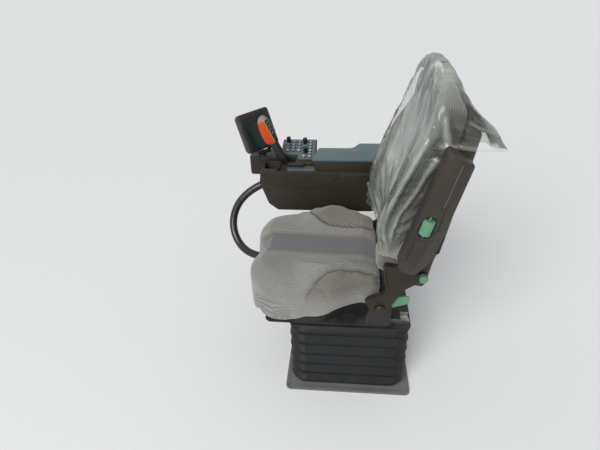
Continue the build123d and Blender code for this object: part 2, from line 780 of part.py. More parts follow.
with BuildPart() as lumbar_knob:
    with BuildSketch(back_side.offset(shell_side + 2 * SEAT_GAP + LUMBAR_BOSS)):
        with Locations((LUMBAR_V, LUMBAR_W)):
            Circle(LUMBAR_R - 1)
            with PolarLocations(LUMBAR_R - 0.4, 12):
                Circle(2, mode=Mode.SUBTRACT)
    extrude(amount=LUMBAR_KNOB)
lumbar_knob.part.label = "lumbar_knob"
export_step(lumbar_knob.part, "parts/lumbar_knob.step")

# Armrest hinge on the side of the back
upper_shell_side = BACK_HIGH_HALF + SHELL_MARGIN
hinge_v = (ARMREST_Y - PIVOT_Y) * sin(lean) + (ARMREST_Z - PIVOT_Z) * cos(lean)
hinge_w = -(ARMREST_Y - PIVOT_Y) * cos(lean) + (ARMREST_Z - PIVOT_Z) * sin(lean)
with BuildPart() as armrest_bracket:
    with BuildSketch(back_side.offset(upper_shell_side + SEAT_GAP)):
        with BuildLine():
            FilletPolyline(
                (hinge_v - 34, shell_rear + 8),
                (hinge_v - 22, hinge_w + 12),
                (hinge_v, hinge_w + 22),
                (hinge_v + 22, hinge_w + 12),
                (hinge_v + 34, shell_rear + 8),
                radius=(8, 12, 12, 12, 8),
                close=True,
            )
        make_face()
    extrude(amount=6)
    with BuildSketch(Plane.YZ.offset(upper_shell_side + SEAT_GAP + 6)):
        with Locations((ARMREST_Y, ARMREST_Z)):
            Circle(ARMREST_PIN_R + 6)
    extrude(amount=ARMREST_INNER_X - SEAT_GAP - upper_shell_side - SEAT_GAP - 6)
    with BuildSketch(Plane.YZ.offset(ARMREST_INNER_X - SEAT_GAP)):
        with Locations((ARMREST_Y, ARMREST_Z)):
            Circle(ARMREST_PIN_R)
    extrude(amount=42)
armrest_bracket.part.label = "armrest_bracket"
export_step(armrest_bracket.part, "parts/armrest_bracket.step")

# Left armrest: a faceted moulding with a recess for its angle wheel
armrest_up = (0, sin(radians(ARMREST_LEAN)), cos(radians(ARMREST_LEAN)))
armrest_side = Plane(origin=(0, ARMREST_Y, ARMREST_Z), x_dir=armrest_up, z_dir=(1, 0, 0))
armrest_outer = ARMREST_INNER_X + ARMREST_WIDTH
with BuildPart() as armrest_body:
    with BuildSketch(armrest_side.offset(ARMREST_INNER_X)):
        with BuildLine():
            FilletPolyline(
                (-ARMREST_TAIL, 24),
                (-ARMREST_TAIL + 12, ARMREST_FRONT + 3),
                (ARMREST_LENGTH, ARMREST_FRONT - 6),
                (ARMREST_LENGTH - 6, 12),
                (ARMREST_LENGTH - 26, ARMREST_REAR),
                (20, ARMREST_REAR - 5),
                (-40, ARMREST_REAR + 6),
                (-ARMREST_TAIL, -14),
                radius=(14, 12, 10, 14, 14, 60, 30, 20),
                close=True,
            )
        make_face()
    extrude(amount=ARMREST_WIDTH)
    # long bevel on the outer rear corner
    with BuildSketch(Plane(origin=(0, ARMREST_Y, ARMREST_Z), x_dir=(1, 0, 0), z_dir=armrest_up).offset(-120)):
        with BuildLine():
            Polyline((armrest_outer + 1, -6), (armrest_outer + 1, 60), (armrest_outer - 34, 60), close=True)
        make_face()
    extrude(amount=460, mode=Mode.SUBTRACT)
    # recess for the wheel
    with BuildSketch(armrest_side.offset(armrest_outer)):
        with Locations((ARMREST_KNOB_ALONG, ARMREST_KNOB_ACROSS)):
            SlotOverall(ARMREST_KNOB_LENGTH + 24, 2 * ARMREST_KNOB_R + 6)
    extrude(amount=-2 * ARMREST_KNOB_R + 6, mode=Mode.SUBTRACT)
    # bearing for the hinge pin
    with BuildSketch(armrest_side.offset(ARMREST_INNER_X)):
        Circle(ARMREST_PIN_R + RUNNING)
    extrude(amount=44, mode=Mode.SUBTRACT)
armrest_body.part.label = "armrest_body"
export_step(armrest_body.part, "parts/armrest_body.step")

wheel_x = armrest_outer - ARMREST_KNOB_R + 8
wheel_base = Plane(
    origin=armrest_side.from_local_coords(
        (ARMREST_KNOB_ALONG - ARMREST_KNOB_LENGTH / 2, ARMREST_KNOB_ACROSS, wheel_x)
    ),
    x_dir=(1, 0, 0),
    z_dir=armrest_up,
)
with BuildPart() as armrest_wheel:
    with BuildSketch(wheel_base):
        Circle(ARMREST_KNOB_R)
        with PolarLocations(ARMREST_KNOB_R + 0.6, 12):
            Circle(2.4, mode=Mode.SUBTRACT)
    extrude(amount=ARMREST_KNOB_LENGTH)
    with BuildSketch(wheel_base.offset(-12 + 2 * SEAT_GAP)):
        Circle(3)
    extrude(amount=ARMREST_KNOB_LENGTH + 24 - 4 * SEAT_GAP)
armrest_wheel.part.label = "armrest_wheel"
export_step(armrest_wheel.part, "parts/armrest_wheel.step")

# Steel beam from the seat frame out to the console
console_outer = CONSOLE_INNER_X - CONSOLE_WIDTH
console_bottom = 520.0
with BuildPart() as console_beam:
    with BuildSketch(Plane.XZ.offset(-BEAM_Y - BEAM_WIDTH / 2)):
        with BuildLine():
            FilletPolyline(
                (-BEAM_ROOT, frame_bottom),
                (BEAM_X + BEAM_THICK, frame_bottom),
                (BEAM_X + BEAM_THICK, console_bottom),
                (BEAM_X, console_bottom),
                (BEAM_X, frame_bottom - BEAM_THICK),
                (-BEAM_ROOT, frame_bottom - BEAM_THICK),
                radius=(0, 6, 0, 0, 6 + BEAM_THICK, 0),
                close=True,
            )
        make_face()
    extrude(amount=BEAM_WIDTH)
console_beam.part.label = "console_beam"
export_step(console_beam.part, "parts/console_beam.step")

# Console housing: one moulding with a front bin, a storage box and a hollow under the controls
console_inner_wall = CONSOLE_INNER_X - CONSOLE_WALL
console_outer_wall = console_outer + CONSOLE_WALL
console_middle_x = (CONSOLE_INNER_X + console_outer) / 2
bin_outer_x = LEVER_X + LEVER_SLOT_WIDTH / 2 - 6
with BuildPart() as console_housing:
    with BuildSketch(Plane.YZ.offset(console_outer)):
        with BuildLine():
            FilletPolyline(
                (-379, 648),
                (-373, CONSOLE_TOP),
                (CONSOLE_REAR, CONSOLE_TOP),
                (CONSOLE_REAR, 575),
                (90, console_bottom),
                (-308, console_bottom),
                (-346, 550),
                radius=(30, 14, 3, 30, 60, 24, 24),
                close=True,
            )
        make_face()
    extrude(amount=CONSOLE_WIDTH)
    with BuildSketch(Plane.XY.offset(BIN_FLOOR)):
        with Locations(((console_inner_wall + bin_outer_x) / 2, (BIN_FRONT + BIN_REAR) / 2)):
            RectangleRounded(console_inner_wall - bin_outer_x, BIN_REAR - BIN_FRONT, 12)
    extrude(until=Until.LAST, mode=Mode.SUBTRACT)
    with BuildSketch(Plane.XY.offset(STORAGE_FLOOR)):
        with Locations((console_middle_x, (STORAGE_FRONT + STORAGE_REAR) / 2)):
            RectangleRounded(CONSOLE_WIDTH - 2 * CONSOLE_WALL, STORAGE_REAR - STORAGE_FRONT, 10)
    extrude(until=Until.LAST, mode=Mode.SUBTRACT)
    with BuildSketch(Plane.XY.offset(CONSOLE_TOP - CONSOLE_WALL)):
        with Locations((console_middle_x, (UNDER_FRONT + UNDER_REAR) / 2)):
            RectangleRounded(CONSOLE_WIDTH - 2 * CONSOLE_WALL, UNDER_REAR - UNDER_FRONT, 6)
    extrude(amount=-CONSOLE_TOP, mode=Mode.SUBTRACT)
    with BuildSketch(Plane.XY.offset(CONSOLE_TOP)):
        with Locations((LEVER_X, (LEVER_SLOT_FRONT + LEVER_SLOT_REAR) / 2)):
            Rectangle(LEVER_SLOT_WIDTH, LEVER_SLOT_REAR - LEVER_SLOT_FRONT)
    extrude(amount=-2 * CONSOLE_WALL, mode=Mode.SUBTRACT)
console_housing.part.label = "console_housing"
export_step(console_housing.part, "parts/console_housing.step")

# Raised rim round the mouth of the bin
bin_width = console_inner_wall - bin_outer_x
bin_depth = BIN_REAR - BIN_FRONT
with BuildPart() as bin_rim:
    with BuildSketch(Plane.XY.offset(CONSOLE_TOP)):
        with Locations(((console_inner_wall + bin_outer_x) / 2, (BIN_FRONT + BIN_REAR) / 2)):
            RectangleRounded(bin_width + BIN_RIM, bin_depth + BIN_RIM, 12 + BIN_RIM / 2)
            RectangleRounded(bin_width, bin_depth, 12, mode=Mode.SUBTRACT)
    extrude(amount=BIN_RIM_HEIGHT)
    fillet(bin_rim.edges().group_by(Axis.Z)[-1], 1.5)
bin_rim.part.label = "bin_rim"
export_step(bin_rim.part, "parts/bin_rim.step")

# Cover panel on the operator's side of the housing
with BuildPart() as console_cover:
    with BuildSketch(Plane.YZ.offset(CONSOLE_INNER_X)):
        with BuildLine():
            FilletPolyline(
                (-376, 652),
                (-369, CONSOLE_TOP - 3),
                (-44, CONSOLE_TOP - 3),
                (-76, 650),
                (-150, 632),
                (-282, 628),
                radius=(6, 16, 4, 60, 120, 160),
                close=True,
            )
        make_face()
    extrude(amount=COVER_THICK)
    fillet(console_cover.faces().sort_by(Axis.X)[-1].edges(), 1.5)
console_cover.part.label = "console_cover"
export_step(console_cover.part, "parts/console_cover.step")

# Hinge of the lid: a pin held between two ears on the housing's rear wall
with BuildPart() as console_hinge:
    for side in (-1, 1):
        ear_x = console_middle_x + side * (LID_HINGE_LENGTH / 2 + 3)
        with BuildSketch(Plane.YZ.offset(ear_x - 3)):
            with BuildLine():
                FilletPolyline(
                    (CONSOLE_REAR, LID_HINGE_Z - 26),
                    (LID_HINGE_Y + 8, LID_HINGE_Z - 12),
                    (LID_HINGE_Y + 8, LID_HINGE_Z + 8),
                    (LID_HINGE_Y - 8, LID_HINGE_Z + 8),
                    (LID_HINGE_Y - 8, LID_HINGE_Z - 6.3),
                    (CONSOLE_REAR, LID_HINGE_Z - 6.3),
                    radius=(0, 7.9, 7.9, 7.9, 0, 0),
                    close=True,
                )
            make_face()
        extrude(amount=6)
    with BuildSketch(Plane.YZ.offset(console_middle_x - LID_HINGE_LENGTH / 2 - 3)):
        with Locations((LID_HINGE_Y, LID_HINGE_Z)):
            Circle(LID_HINGE_R)
    extrude(amount=LID_HINGE_LENGTH + 6)
console_hinge.part.label = "console_hinge"
export_step(console_hinge.part, "parts/console_hinge.step")

# Lid: a hollow tray with a knuckle on the pin, and the armrest pad on top
lid_bottom = CONSOLE_TOP + SEAT_GAP
lid_top = lid_bottom + LID_HEIGHT
lid_rear = CONSOLE_REAR - 1
lid_wide_x = console_outer - LID_WIDE
with BuildPart() as lid_tray:
    with BuildSketch(Plane.YZ.offset(console_outer)):
        with BuildLine():
            FilletPolyline(
                (LID_FRONT, lid_bottom),
                (LID_FRONT - LID_SLANT, lid_top),
                (lid_rear, lid_top),
                (lid_rear, lid_bottom),
                radius=(3, 3, 0, 0),
                close=True,
            )
        make_face()
    extrude(amount=CONSOLE_WIDTH)
    with BuildSketch(Plane.XY.offset(lid_bottom)):
        with BuildLine():
            Polyline(
                (CONSOLE_INNER_X, LID_FRONT - LID_SLANT),
                (CONSOLE_INNER_X, lid_rear),
                (console_outer, lid_rear),
                (console_outer, LID_FRONT - LID_SLANT + LID_SKEW),
                close=True,
            )
        make_face()
    extrude(amount=LID_HEIGHT, mode=Mode.INTERSECT)
    with BuildSketch(Plane.XY.offset(lid_top)):
        with Locations(((console_outer + lid_wide_x) / 2, (LID_WIDE_Y + lid_rear) / 2)):
            Rectangle(LID_WIDE, lid_rear - LID_WIDE_Y)
    extrude(amount=-LID_HEIGHT / 2)
    with BuildSketch(Plane.XY.offset(lid_bottom)):
        with Locations((console_middle_x, (LID_FRONT + lid_rear) / 2)):
            RectangleRounded(CONSOLE_WIDTH - 2 * LID_WALL, lid_rear - LID_FRONT - 4 * LID_WALL, 8)
    extrude(amount=LID_HEIGHT - LID_WALL, mode=Mode.SUBTRACT)
    with BuildSketch(Plane.YZ.offset(console_middle_x - LID_HINGE_LENGTH / 2 + 1)):
        with Locations((LID_HINGE_Y, LID_HINGE_Z)):
            Circle(LID_HINGE_R + 4)
        with BuildLine():
            Polyline(
                (LID_HINGE_Y, LID_HINGE_Z + LID_HINGE_R + 4),
                (lid_rear - 1, lid_top - 8),
                (lid_rear - 1, LID_HINGE_Z),
                (LID_HINGE_Y, LID_HINGE_Z),
                close=True,
            )
        make_face()
        with Locations((LID_HINGE_Y, LID_HINGE_Z)):
            Circle(LID_HINGE_R + RUNNING, mode=Mode.SUBTRACT)
    extrude(amount=LID_HINGE_LENGTH - 2)
lid_tray.part.label = "lid_tray"
export_step(lid_tray.part, "parts/lid_tray.step")

pad_bottom = lid_top
with BuildPart() as lid_pad:
    with BuildSketch(Plane.XY.offset(pad_bottom)):
        with BuildLine():
            FilletPolyline(
                (CONSOLE_INNER_X + 2, LID_FRONT - LID_SLANT - 2),
                (CONSOLE_INNER_X + 2, lid_rear),
                (lid_wide_x - 2, lid_rear),
                (lid_wide_x - 2, LID_WIDE_Y + 4),
                (console_outer - 2, LID_WIDE_Y - 24),
                (console_outer - 2, LID_FRONT - LID_SLANT + LID_SKEW - 2),
                radius=(8, 12, 16, 16, 30, 10),
                close=True,
            )
        make_face()
    extrude(amount=LID_PAD_HEIGHT)
    fillet(lid_pad.edges().group_by(Axis.Z)[-1], 5)
lid_pad.part.label = "lid_pad"
export_step(lid_pad.part, "parts/lid_pad.step")

# Control deck: a wedge that rises outwards, notched round the lever
deck_rise = atan2(DECK_FAR_Z - DECK_NEAR_Z, DECK_NEAR_X - DECK_FAR_X)
deck_normal = (sin(deck_rise), 0, cos(deck_rise))
deck_plane = Plane(
    origin=((DECK_NEAR_X + DECK_FAR_X) / 2, (DECK_FRONT + DECK_REAR) / 2, (DECK_NEAR_Z + DECK_FAR_Z) / 2),
    x_dir=(0, 1, 0),
    z_dir=deck_normal,
)
with BuildPart() as control_deck:
    with BuildSketch(Plane.XZ.offset(-DECK_REAR)):
        with BuildLine():
            FilletPolyline(
                (DECK_NEAR_X, CONSOLE_TOP + SEAT_GAP),
                (DECK_NEAR_X, DECK_NEAR_Z),
                (DECK_FAR_X, DECK_FAR_Z),
                (DECK_FAR_X, DECK_BOTTOM),
                (console_outer - SEAT_GAP, DECK_BOTTOM),
                (console_outer - SEAT_GAP, CONSOLE_TOP + SEAT_GAP),
                radius=(0, 3, 6, 16, 0, 0),
                close=True,
            )
        make_face()
    extrude(amount=DECK_REAR - DECK_FRONT)
    with BuildSketch(Plane.XY.offset(DECK_BOTTOM)):
        with BuildLine():
            FilletPolyline(
                (DECK_NEAR_X, DECK_REAR),
                (DECK_FAR_X, DECK_REAR),
                (DECK_FAR_X, DECK_FRONT),
                (DECK_NOTCH_X, DECK_FRONT),
                (DECK_NOTCH_X, DECK_NOTCH_Y),
                (DECK_NEAR_X, DECK_NOTCH_Y),
                radius=(4, 12, 12, 4, 8, 4),
                close=True,
            )
        make_face()
    extrude(amount=DECK_FAR_Z, mode=Mode.INTERSECT)
control_deck.part.label = "control_deck"
export_step(control_deck.part, "parts/control_deck.step")

# Keypad panel on the deck, its round buttons and its turning knobs
keypad_corner_along, keypad_corner_up = KEYPAD_OUTLINE[4]
keypad_places = [
    (
        (column - (BUTTON_COLUMNS - 1) / 2) * BUTTON_PITCH_Y,
        KEYPAD_MIDDLE_UP + (row - (BUTTON_ROWS - 1) / 2) * BUTTON_PITCH_X,
    )
    for row in range(BUTTON_ROWS)
    for column in range(BUTTON_COLUMNS)
]
knob_room = KNOB_R + BUTTON_R + 2
button_places = [
    (along, up)
    for along, up in keypad_places
    if (along > keypad_corner_along + BUTTON_R + 2 or up > keypad_corner_up + BUTTON_R + 2)
    and all((along - a) ** 2 + (up - u) ** 2 > knob_room**2 for a, u in KNOB_PLACES)
]
print("buttons", len(button_places))
with BuildPart() as keypad_panel:
    with BuildSketch(deck_plane):
        with BuildLine():
            FilletPolyline(*KEYPAD_OUTLINE, radius=KEYPAD_ROUND, close=True)
        make_face()
    extrude(amount=KEYPAD_THICK)
keypad_panel.part.label = "keypad_panel"
export_step(keypad_panel.part, "parts/keypad_panel.step")

with BuildPart() as keypad_buttons:
    with BuildSketch(deck_plane.offset(KEYPAD_THICK)):
        with Locations(*button_places):
            Circle(BUTTON_R)
    extrude(amount=BUTTON_RISE)
keypad_buttons.part.label = "keypad_buttons"
export_step(keypad_buttons.part, "parts/keypad_buttons.step")

with BuildPart() as turning_knobs:
    with BuildSketch(deck_plane.offset(KEYPAD_THICK)):
        with Locations(*KNOB_PLACES):
            Circle(KNOB_R)
    extrude(amount=KNOB_HEIGHT)
turning_knobs.part.label = "turning_knobs"
export_step(turning_knobs.part, "parts/turning_knobs.step")

# Flat switch plate beside the lid, and the small lever that lies on it
plate_bottom = CONSOLE_TOP + SEAT_GAP
plate_top = plate_bottom + SWITCH_PLATE_THICK
with BuildPart() as switch_plate:
    with BuildSketch(Plane.XY.offset(plate_bottom)):
        with BuildLine():
            FilletPolyline(
                (CONSOLE_INNER_X - 3, -264),
                (CONSOLE_INNER_X - 3, -146),
                (DECK_NEAR_X + 4, -158),
                (DECK_NEAR_X + 4, -264),
                radius=4,
                close=True,
            )
        make_face()
    extrude(amount=SWITCH_PLATE_THICK)
switch_plate.part.label = "switch_plate"
export_step(switch_plate.part, "parts/switch_plate.step")

with BuildPart() as small_lever:
    with BuildSketch(Plane.XY.offset(plate_top)):
        with Locations((SMALL_LEVER_X, SMALL_LEVER_FRONT + 8)):
            Circle(SMALL_LEVER_WIDTH / 2)
    extrude(amount=12)
    with BuildSketch(Plane.XY.offset(plate_top + 2)):
        with BuildLine():
            FilletPolyline(
                (SMALL_LEVER_X - 7, SMALL_LEVER_FRONT),
                (SMALL_LEVER_X + 7, SMALL_LEVER_FRONT),
                (SMALL_LEVER_X + 9, SMALL_LEVER_FRONT + SMALL_LEVER_LENGTH),
                (SMALL_LEVER_X - 8, SMALL_LEVER_FRONT + SMALL_LEVER_LENGTH),
                radius=(3, 3, 7, 7),
                close=True,
            )
        make_face()
    extrude(amount=9)
small_lever.part.label = "small_lever"
export_step(small_lever.part, "parts/small_lever.step")

# Slotted plate for the hydraulic lever
with BuildPart() as lever_plate:
    with BuildSketch(Plane.XY.offset(CONSOLE_TOP)):
        with Locations((LEVER_X, (LEVER_SLOT_FRONT + LEVER_SLOT_REAR) / 2)):
            RectangleRounded(LEVER_SLOT_WIDTH + 14, LEVER_SLOT_REAR - LEVER_SLOT_FRONT + 8, 4)
            Rectangle(LEVER_SLOT_WIDTH, LEVER_SLOT_REAR - LEVER_SLOT_FRONT, mode=Mode.SUBTRACT)
    extrude(amount=LEVER_PLATE_THICK)
lever_plate.part.label = "lever_plate"
export_step(lever_plate.part, "parts/lever_plate.step")

# Hydraulic lever: hub and shaft, moulded neck with the head's rear, and the face round the head's front
lever_up = (0, -sin(radians(LEVER_LEAN)), cos(radians(LEVER_LEAN)))
lever_plane = Plane(origin=(LEVER_X, LEVER_Y, LEVER_Z), x_dir=(1, 0, 0), z_dir=lever_up)
hub_length = console_inner_wall - console_outer_wall - 2 * SEAT_GAP
with BuildPart() as lever_shaft:
    with BuildSketch(lever_plane):
        Circle(LEVER_SHAFT_R)
    extrude(amount=LEVER_NECK_START)
    with BuildSketch(Plane.YZ.offset(console_outer_wall + SEAT_GAP)):
        with Locations((LEVER_Y, LEVER_Z)):
            Circle(LEVER_HUB_R)
    extrude(amount=hub_length)
lever_shaft.part.label = "lever_shaft"
export_step(lever_shaft.part, "parts/lever_shaft.step")


def lever_moulding(sections):
    """A moulding round the lever, drawn through rounded sections."""
    with BuildPart() as moulding:
        for along, width, behind, ahead in sections:
            with BuildSketch(lever_plane.offset(along)):
                with Locations((0, (behind - ahead) / 2)):
                    RectangleRounded(width, behind + ahead, 0.42 * min(width, behind + ahead))
        loft(ruled=True)
    return moulding.part


lever_head = lever_moulding(HEAD_SECTIONS)
head_length = HEAD_SECTIONS[-1][0] - LEVER_HEAD_START
head_reach = 60.0
with BuildPart() as lever_grip:
    add(lever_head)
    with BuildSketch(lever_plane.offset(LEVER_HEAD_START)):
        with Locations((0, HEAD_SPLIT + head_reach / 2)):
            Rectangle(head_reach, head_reach)
    extrude(amount=head_length, mode=Mode.INTERSECT)
    add(lever_moulding(NECK_SECTIONS))
lever_grip.part.label = "lever_grip"
export_step(lever_grip.part, "parts/lever_grip.step")

with BuildPart() as lever_face:
    add(lever_head)
    with BuildSketch(lever_plane.offset(LEVER_HEAD_START)):
        with Locations((0, HEAD_SPLIT - head_reach / 2)):
            Rectangle(head_reach, head_reach)
    extrude(amount=head_length, mode=Mode.INTERSECT)
lever_face.part.label = "lever_face"
export_step(lever_face.part, "parts/lever_face.step")

# Display pod, tilting bracket, case, bezel and screen
with BuildPart() as display_pod:
    with BuildSketch(Plane.XY.offset(POD_BOTTOM)):
        with BuildLine():
            FilletPolyline(
                (console_outer - SEAT_GAP, POD_FRONT),
                (console_outer - SEAT_GAP, DECK_FRONT - SEAT_GAP),
                (POD_FAR_X, DECK_FRONT - SEAT_GAP),
                (POD_FAR_X, POD_FRONT),
                radius=(14, 0, 0, 14),
                close=True,
            )
        make_face()
    extrude(amount=POD_TOP - POD_BOTTOM)
    fillet(display_pod.edges().group_by(Axis.Z)[-1], 5)
    fillet(display_pod.edges().group_by(Axis.Z)[0], 8)
display_pod.part.label = "display_pod"
export_step(display_pod.part, "parts/display_pod.step")

yaw = radians(DISPLAY_YAW)
tilt = radians(DISPLAY_TILT)
display_across = (-sin(yaw), cos(yaw), 0)
display_normal = (cos(yaw) * cos(tilt), sin(yaw) * cos(tilt), sin(tilt))
display_plane = Plane(origin=(DISPLAY_X, DISPLAY_Y, DISPLAY_Z), x_dir=display_across, z_dir=display_normal)
tilt_centre = display_plane.from_local_coords((0, -DISPLAY_HEIGHT / 2 - TILT_DROP, -DISPLAY_DEPTH / 2))
tilt_axis_plane = Plane(origin=tilt_centre, x_dir=(0, 0, 1), z_dir=display_across)
with BuildPart() as display_bracket:
    with BuildSketch(Plane.XY.offset(POD_TOP)):
        with Locations((tilt_centre.X, tilt_centre.Y)):
            Circle(TILT_BARREL_R - 1)
    extrude(amount=tilt_centre.Z - POD_TOP)
    with BuildSketch(tilt_axis_plane.offset(-TILT_BARREL / 2)):
        Circle(TILT_BARREL_R)
    extrude(amount=TILT_BARREL)
    with BuildSketch(tilt_axis_plane.offset(-TILT_BARREL / 2)):
        Circle(TILT_R + RUNNING)
    extrude(amount=TILT_BARREL, mode=Mode.SUBTRACT)
display_bracket.part.label = "display_bracket"
export_step(display_bracket.part, "parts/display_bracket.step")

with BuildPart() as display_case:
    with BuildSketch(display_plane.offset(-DISPLAY_DEPTH)):
        RectangleRounded(DISPLAY_WIDTH - 14, DISPLAY_HEIGHT - 14, 10)
    with BuildSketch(display_plane.offset(-DISPLAY_DEPTH * 0.6)):
        RectangleRounded(DISPLAY_WIDTH, DISPLAY_HEIGHT, 14)
    loft(ruled=True)
    with BuildSketch(display_plane.offset(-DISPLAY_DEPTH * 0.6)):
        RectangleRounded(DISPLAY_WIDTH, DISPLAY_HEIGHT, 14)
    extrude(amount=DISPLAY_DEPTH * 0.6)
    for start in (-TILT_BARREL / 2 - 8, TILT_BARREL / 2 + 1):
        with BuildSketch(tilt_axis_plane.offset(start)):
            Circle(TILT_BARREL_R)
            with BuildLine():
                Polyline(
                    (0, -TILT_BARREL_R),
                    (24, -TILT_BARREL_R),
                    (24, TILT_BARREL_R),
                    (0, TILT_BARREL_R),
                    close=True,
                )
            make_face()
        extrude(amount=7)
    with BuildSketch(tilt_axis_plane.offset(-TILT_BARREL / 2 - 4)):
        Circle(TILT_R)
    extrude(amount=TILT_BARREL + 8)
display_case.part.label = "display_case"
export_step(display_case.part, "parts/display_case.step")

with BuildPart() as display_bezel:
    with BuildSketch(display_plane):
        RectangleRounded(DISPLAY_WIDTH - 2 * BEZEL_EDGE, DISPLAY_HEIGHT - 2 * BEZEL_EDGE, 10)
        with Locations((0, -SCREEN_DROP)):
            Rectangle(SCREEN_WIDTH, SCREEN_HEIGHT, mode=Mode.SUBTRACT)
    extrude(amount=BEZEL_DEPTH)
display_bezel.part.label = "display_bezel"
export_step(display_bezel.part, "parts/display_bezel.step")

with BuildPart() as display_screen:
    with BuildSketch(display_plane):
        with Locations((0, -SCREEN_DROP)):
            Rectangle(SCREEN_WIDTH - 2 * SEAT_GAP, SCREEN_HEIGHT - 2 * SEAT_GAP)
    extrude(amount=2)
display_screen.part.label = "display_screen"
export_step(display_screen.part, "parts/display_screen.step")

# Harness: a thick hose from a block under the deck round to a block at the frame's front edge
harness_points = [Vector(*point) for point in HARNESS_ROUTE]
harness_runs = [b - a for a, b in zip(harness_points, harness_points[1:])]
harness_radii = [
    0.45 * min(before.length, after.length) / tan(radians(before.get_angle(after)) / 2)
    for before, after in zip(harness_runs, harness_runs[1:])
]
print("harness radii", [round(r) for r in harness_radii])
start_x, start_y, start_z = HARNESS_ROUTE[0]
end_x, end_y, end_z = HARNESS_ROUTE[-1]
block_half = HARNESS_R + GLAND_WALL
with BuildPart() as harness:
    with BuildLine() as harness_line:
        FilletPolyline(*harness_points, radius=harness_radii)
    harness_path = harness_line.wires()[0]
    with BuildSketch(Plane(origin=harness_path @ 0, z_dir=harness_path % 0)):
        Circle(HARNESS_R)
    sweep(path=harness_path)
print("harness", round(harness_path.length), "mm, volume", round(harness.part.volume))
print("section times length", round(pi * HARNESS_R**2 * harness_path.length))
harness.part.label = "harness"
export_step(harness.part, "parts/harness.step")

with BuildPart() as harness_gland_deck:
    with BuildSketch(Plane.YZ.offset(start_x - block_half)):
        with BuildLine():
            FilletPolyline(
                (start_y, DECK_BOTTOM),
                (start_y, start_z - block_half),
                (start_y + GLAND_DEPTH, start_z - block_half),
                (start_y + 2 * GLAND_DEPTH, DECK_BOTTOM),
                radius=(0, 6, 10, 0),
                close=True,
            )
        make_face()
    extrude(amount=2 * block_half)
harness_gland_deck.part.label = "harness_gland_deck"
export_step(harness_gland_deck.part, "parts/harness_gland_deck.step")

gland_front = end_y - GLAND_GRIP
with BuildPart() as harness_gland_frame:
    with BuildSketch(Plane.XY.offset(frame_top)):
        with Locations((end_x, (gland_front + FRAME_FRONT) / 2)):
            RectangleRounded(2 * block_half, FRAME_FRONT - gland_front, 5)
    extrude(amount=-(frame_top - end_z + block_half))
harness_gland_frame.part.label = "harness_gland_frame"
export_step(harness_gland_frame.part, "parts/harness_gland_frame.step")
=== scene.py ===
"""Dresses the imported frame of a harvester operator's seat, its folding armrest and its control console."""

import json
import logging
import math
from contextlib import contextmanager
from dataclasses import dataclass, field
from enum import Enum
from typing import Callable, Iterator, Sequence

import bpy
import numpy as np
from mathutils import Matrix, Vector, noise


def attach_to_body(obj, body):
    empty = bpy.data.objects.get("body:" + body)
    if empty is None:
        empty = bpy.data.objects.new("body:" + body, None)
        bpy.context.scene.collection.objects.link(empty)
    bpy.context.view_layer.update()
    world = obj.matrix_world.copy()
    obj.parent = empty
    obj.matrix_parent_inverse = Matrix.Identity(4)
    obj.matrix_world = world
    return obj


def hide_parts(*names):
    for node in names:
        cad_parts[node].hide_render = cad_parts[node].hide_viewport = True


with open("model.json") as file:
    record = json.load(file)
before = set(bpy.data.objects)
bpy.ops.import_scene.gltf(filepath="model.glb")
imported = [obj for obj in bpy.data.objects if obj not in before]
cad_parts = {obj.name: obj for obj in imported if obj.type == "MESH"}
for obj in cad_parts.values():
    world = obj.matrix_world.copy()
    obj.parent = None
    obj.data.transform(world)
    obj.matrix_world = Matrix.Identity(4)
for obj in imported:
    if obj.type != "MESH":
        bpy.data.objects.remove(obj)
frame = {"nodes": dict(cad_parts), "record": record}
log = logging.getLogger("seat")

Colour = tuple[float, float, float]
Point = tuple[float, float, float]
Socket = bpy.types.NodeSocket
Piece = bpy.types.Object
Chooser = Callable[[Vector, Vector], int]
MM = 0.001

# The leaning plane of the back, as in the solids
PIVOT = Vector((0.0, 0.099, 0.442))
LEAN = math.radians(8.8)
BACK_UP = Vector((0.0, math.sin(LEAN), math.cos(LEAN)))
BACK_AHEAD = Vector((0.0, -math.cos(LEAN), math.sin(LEAN)))

# The sloping top of the control deck
DECK_RISE = math.atan2(40.0, 173.0)
DECK_NORMAL = Vector((math.sin(DECK_RISE), 0.0, math.cos(DECK_RISE)))


class Grain(Enum):
    """How a finish is textured close up."""

    MOULDED = "fine pebbles of a plastic moulding"
    PAINT = "slight ripple of sprayed paint"
    BRUSHED = "short scratches of plated steel"
    RUBBER = "soft unevenness of rubber"
    VINYL = "creased grain of coated cloth"


# Finishes


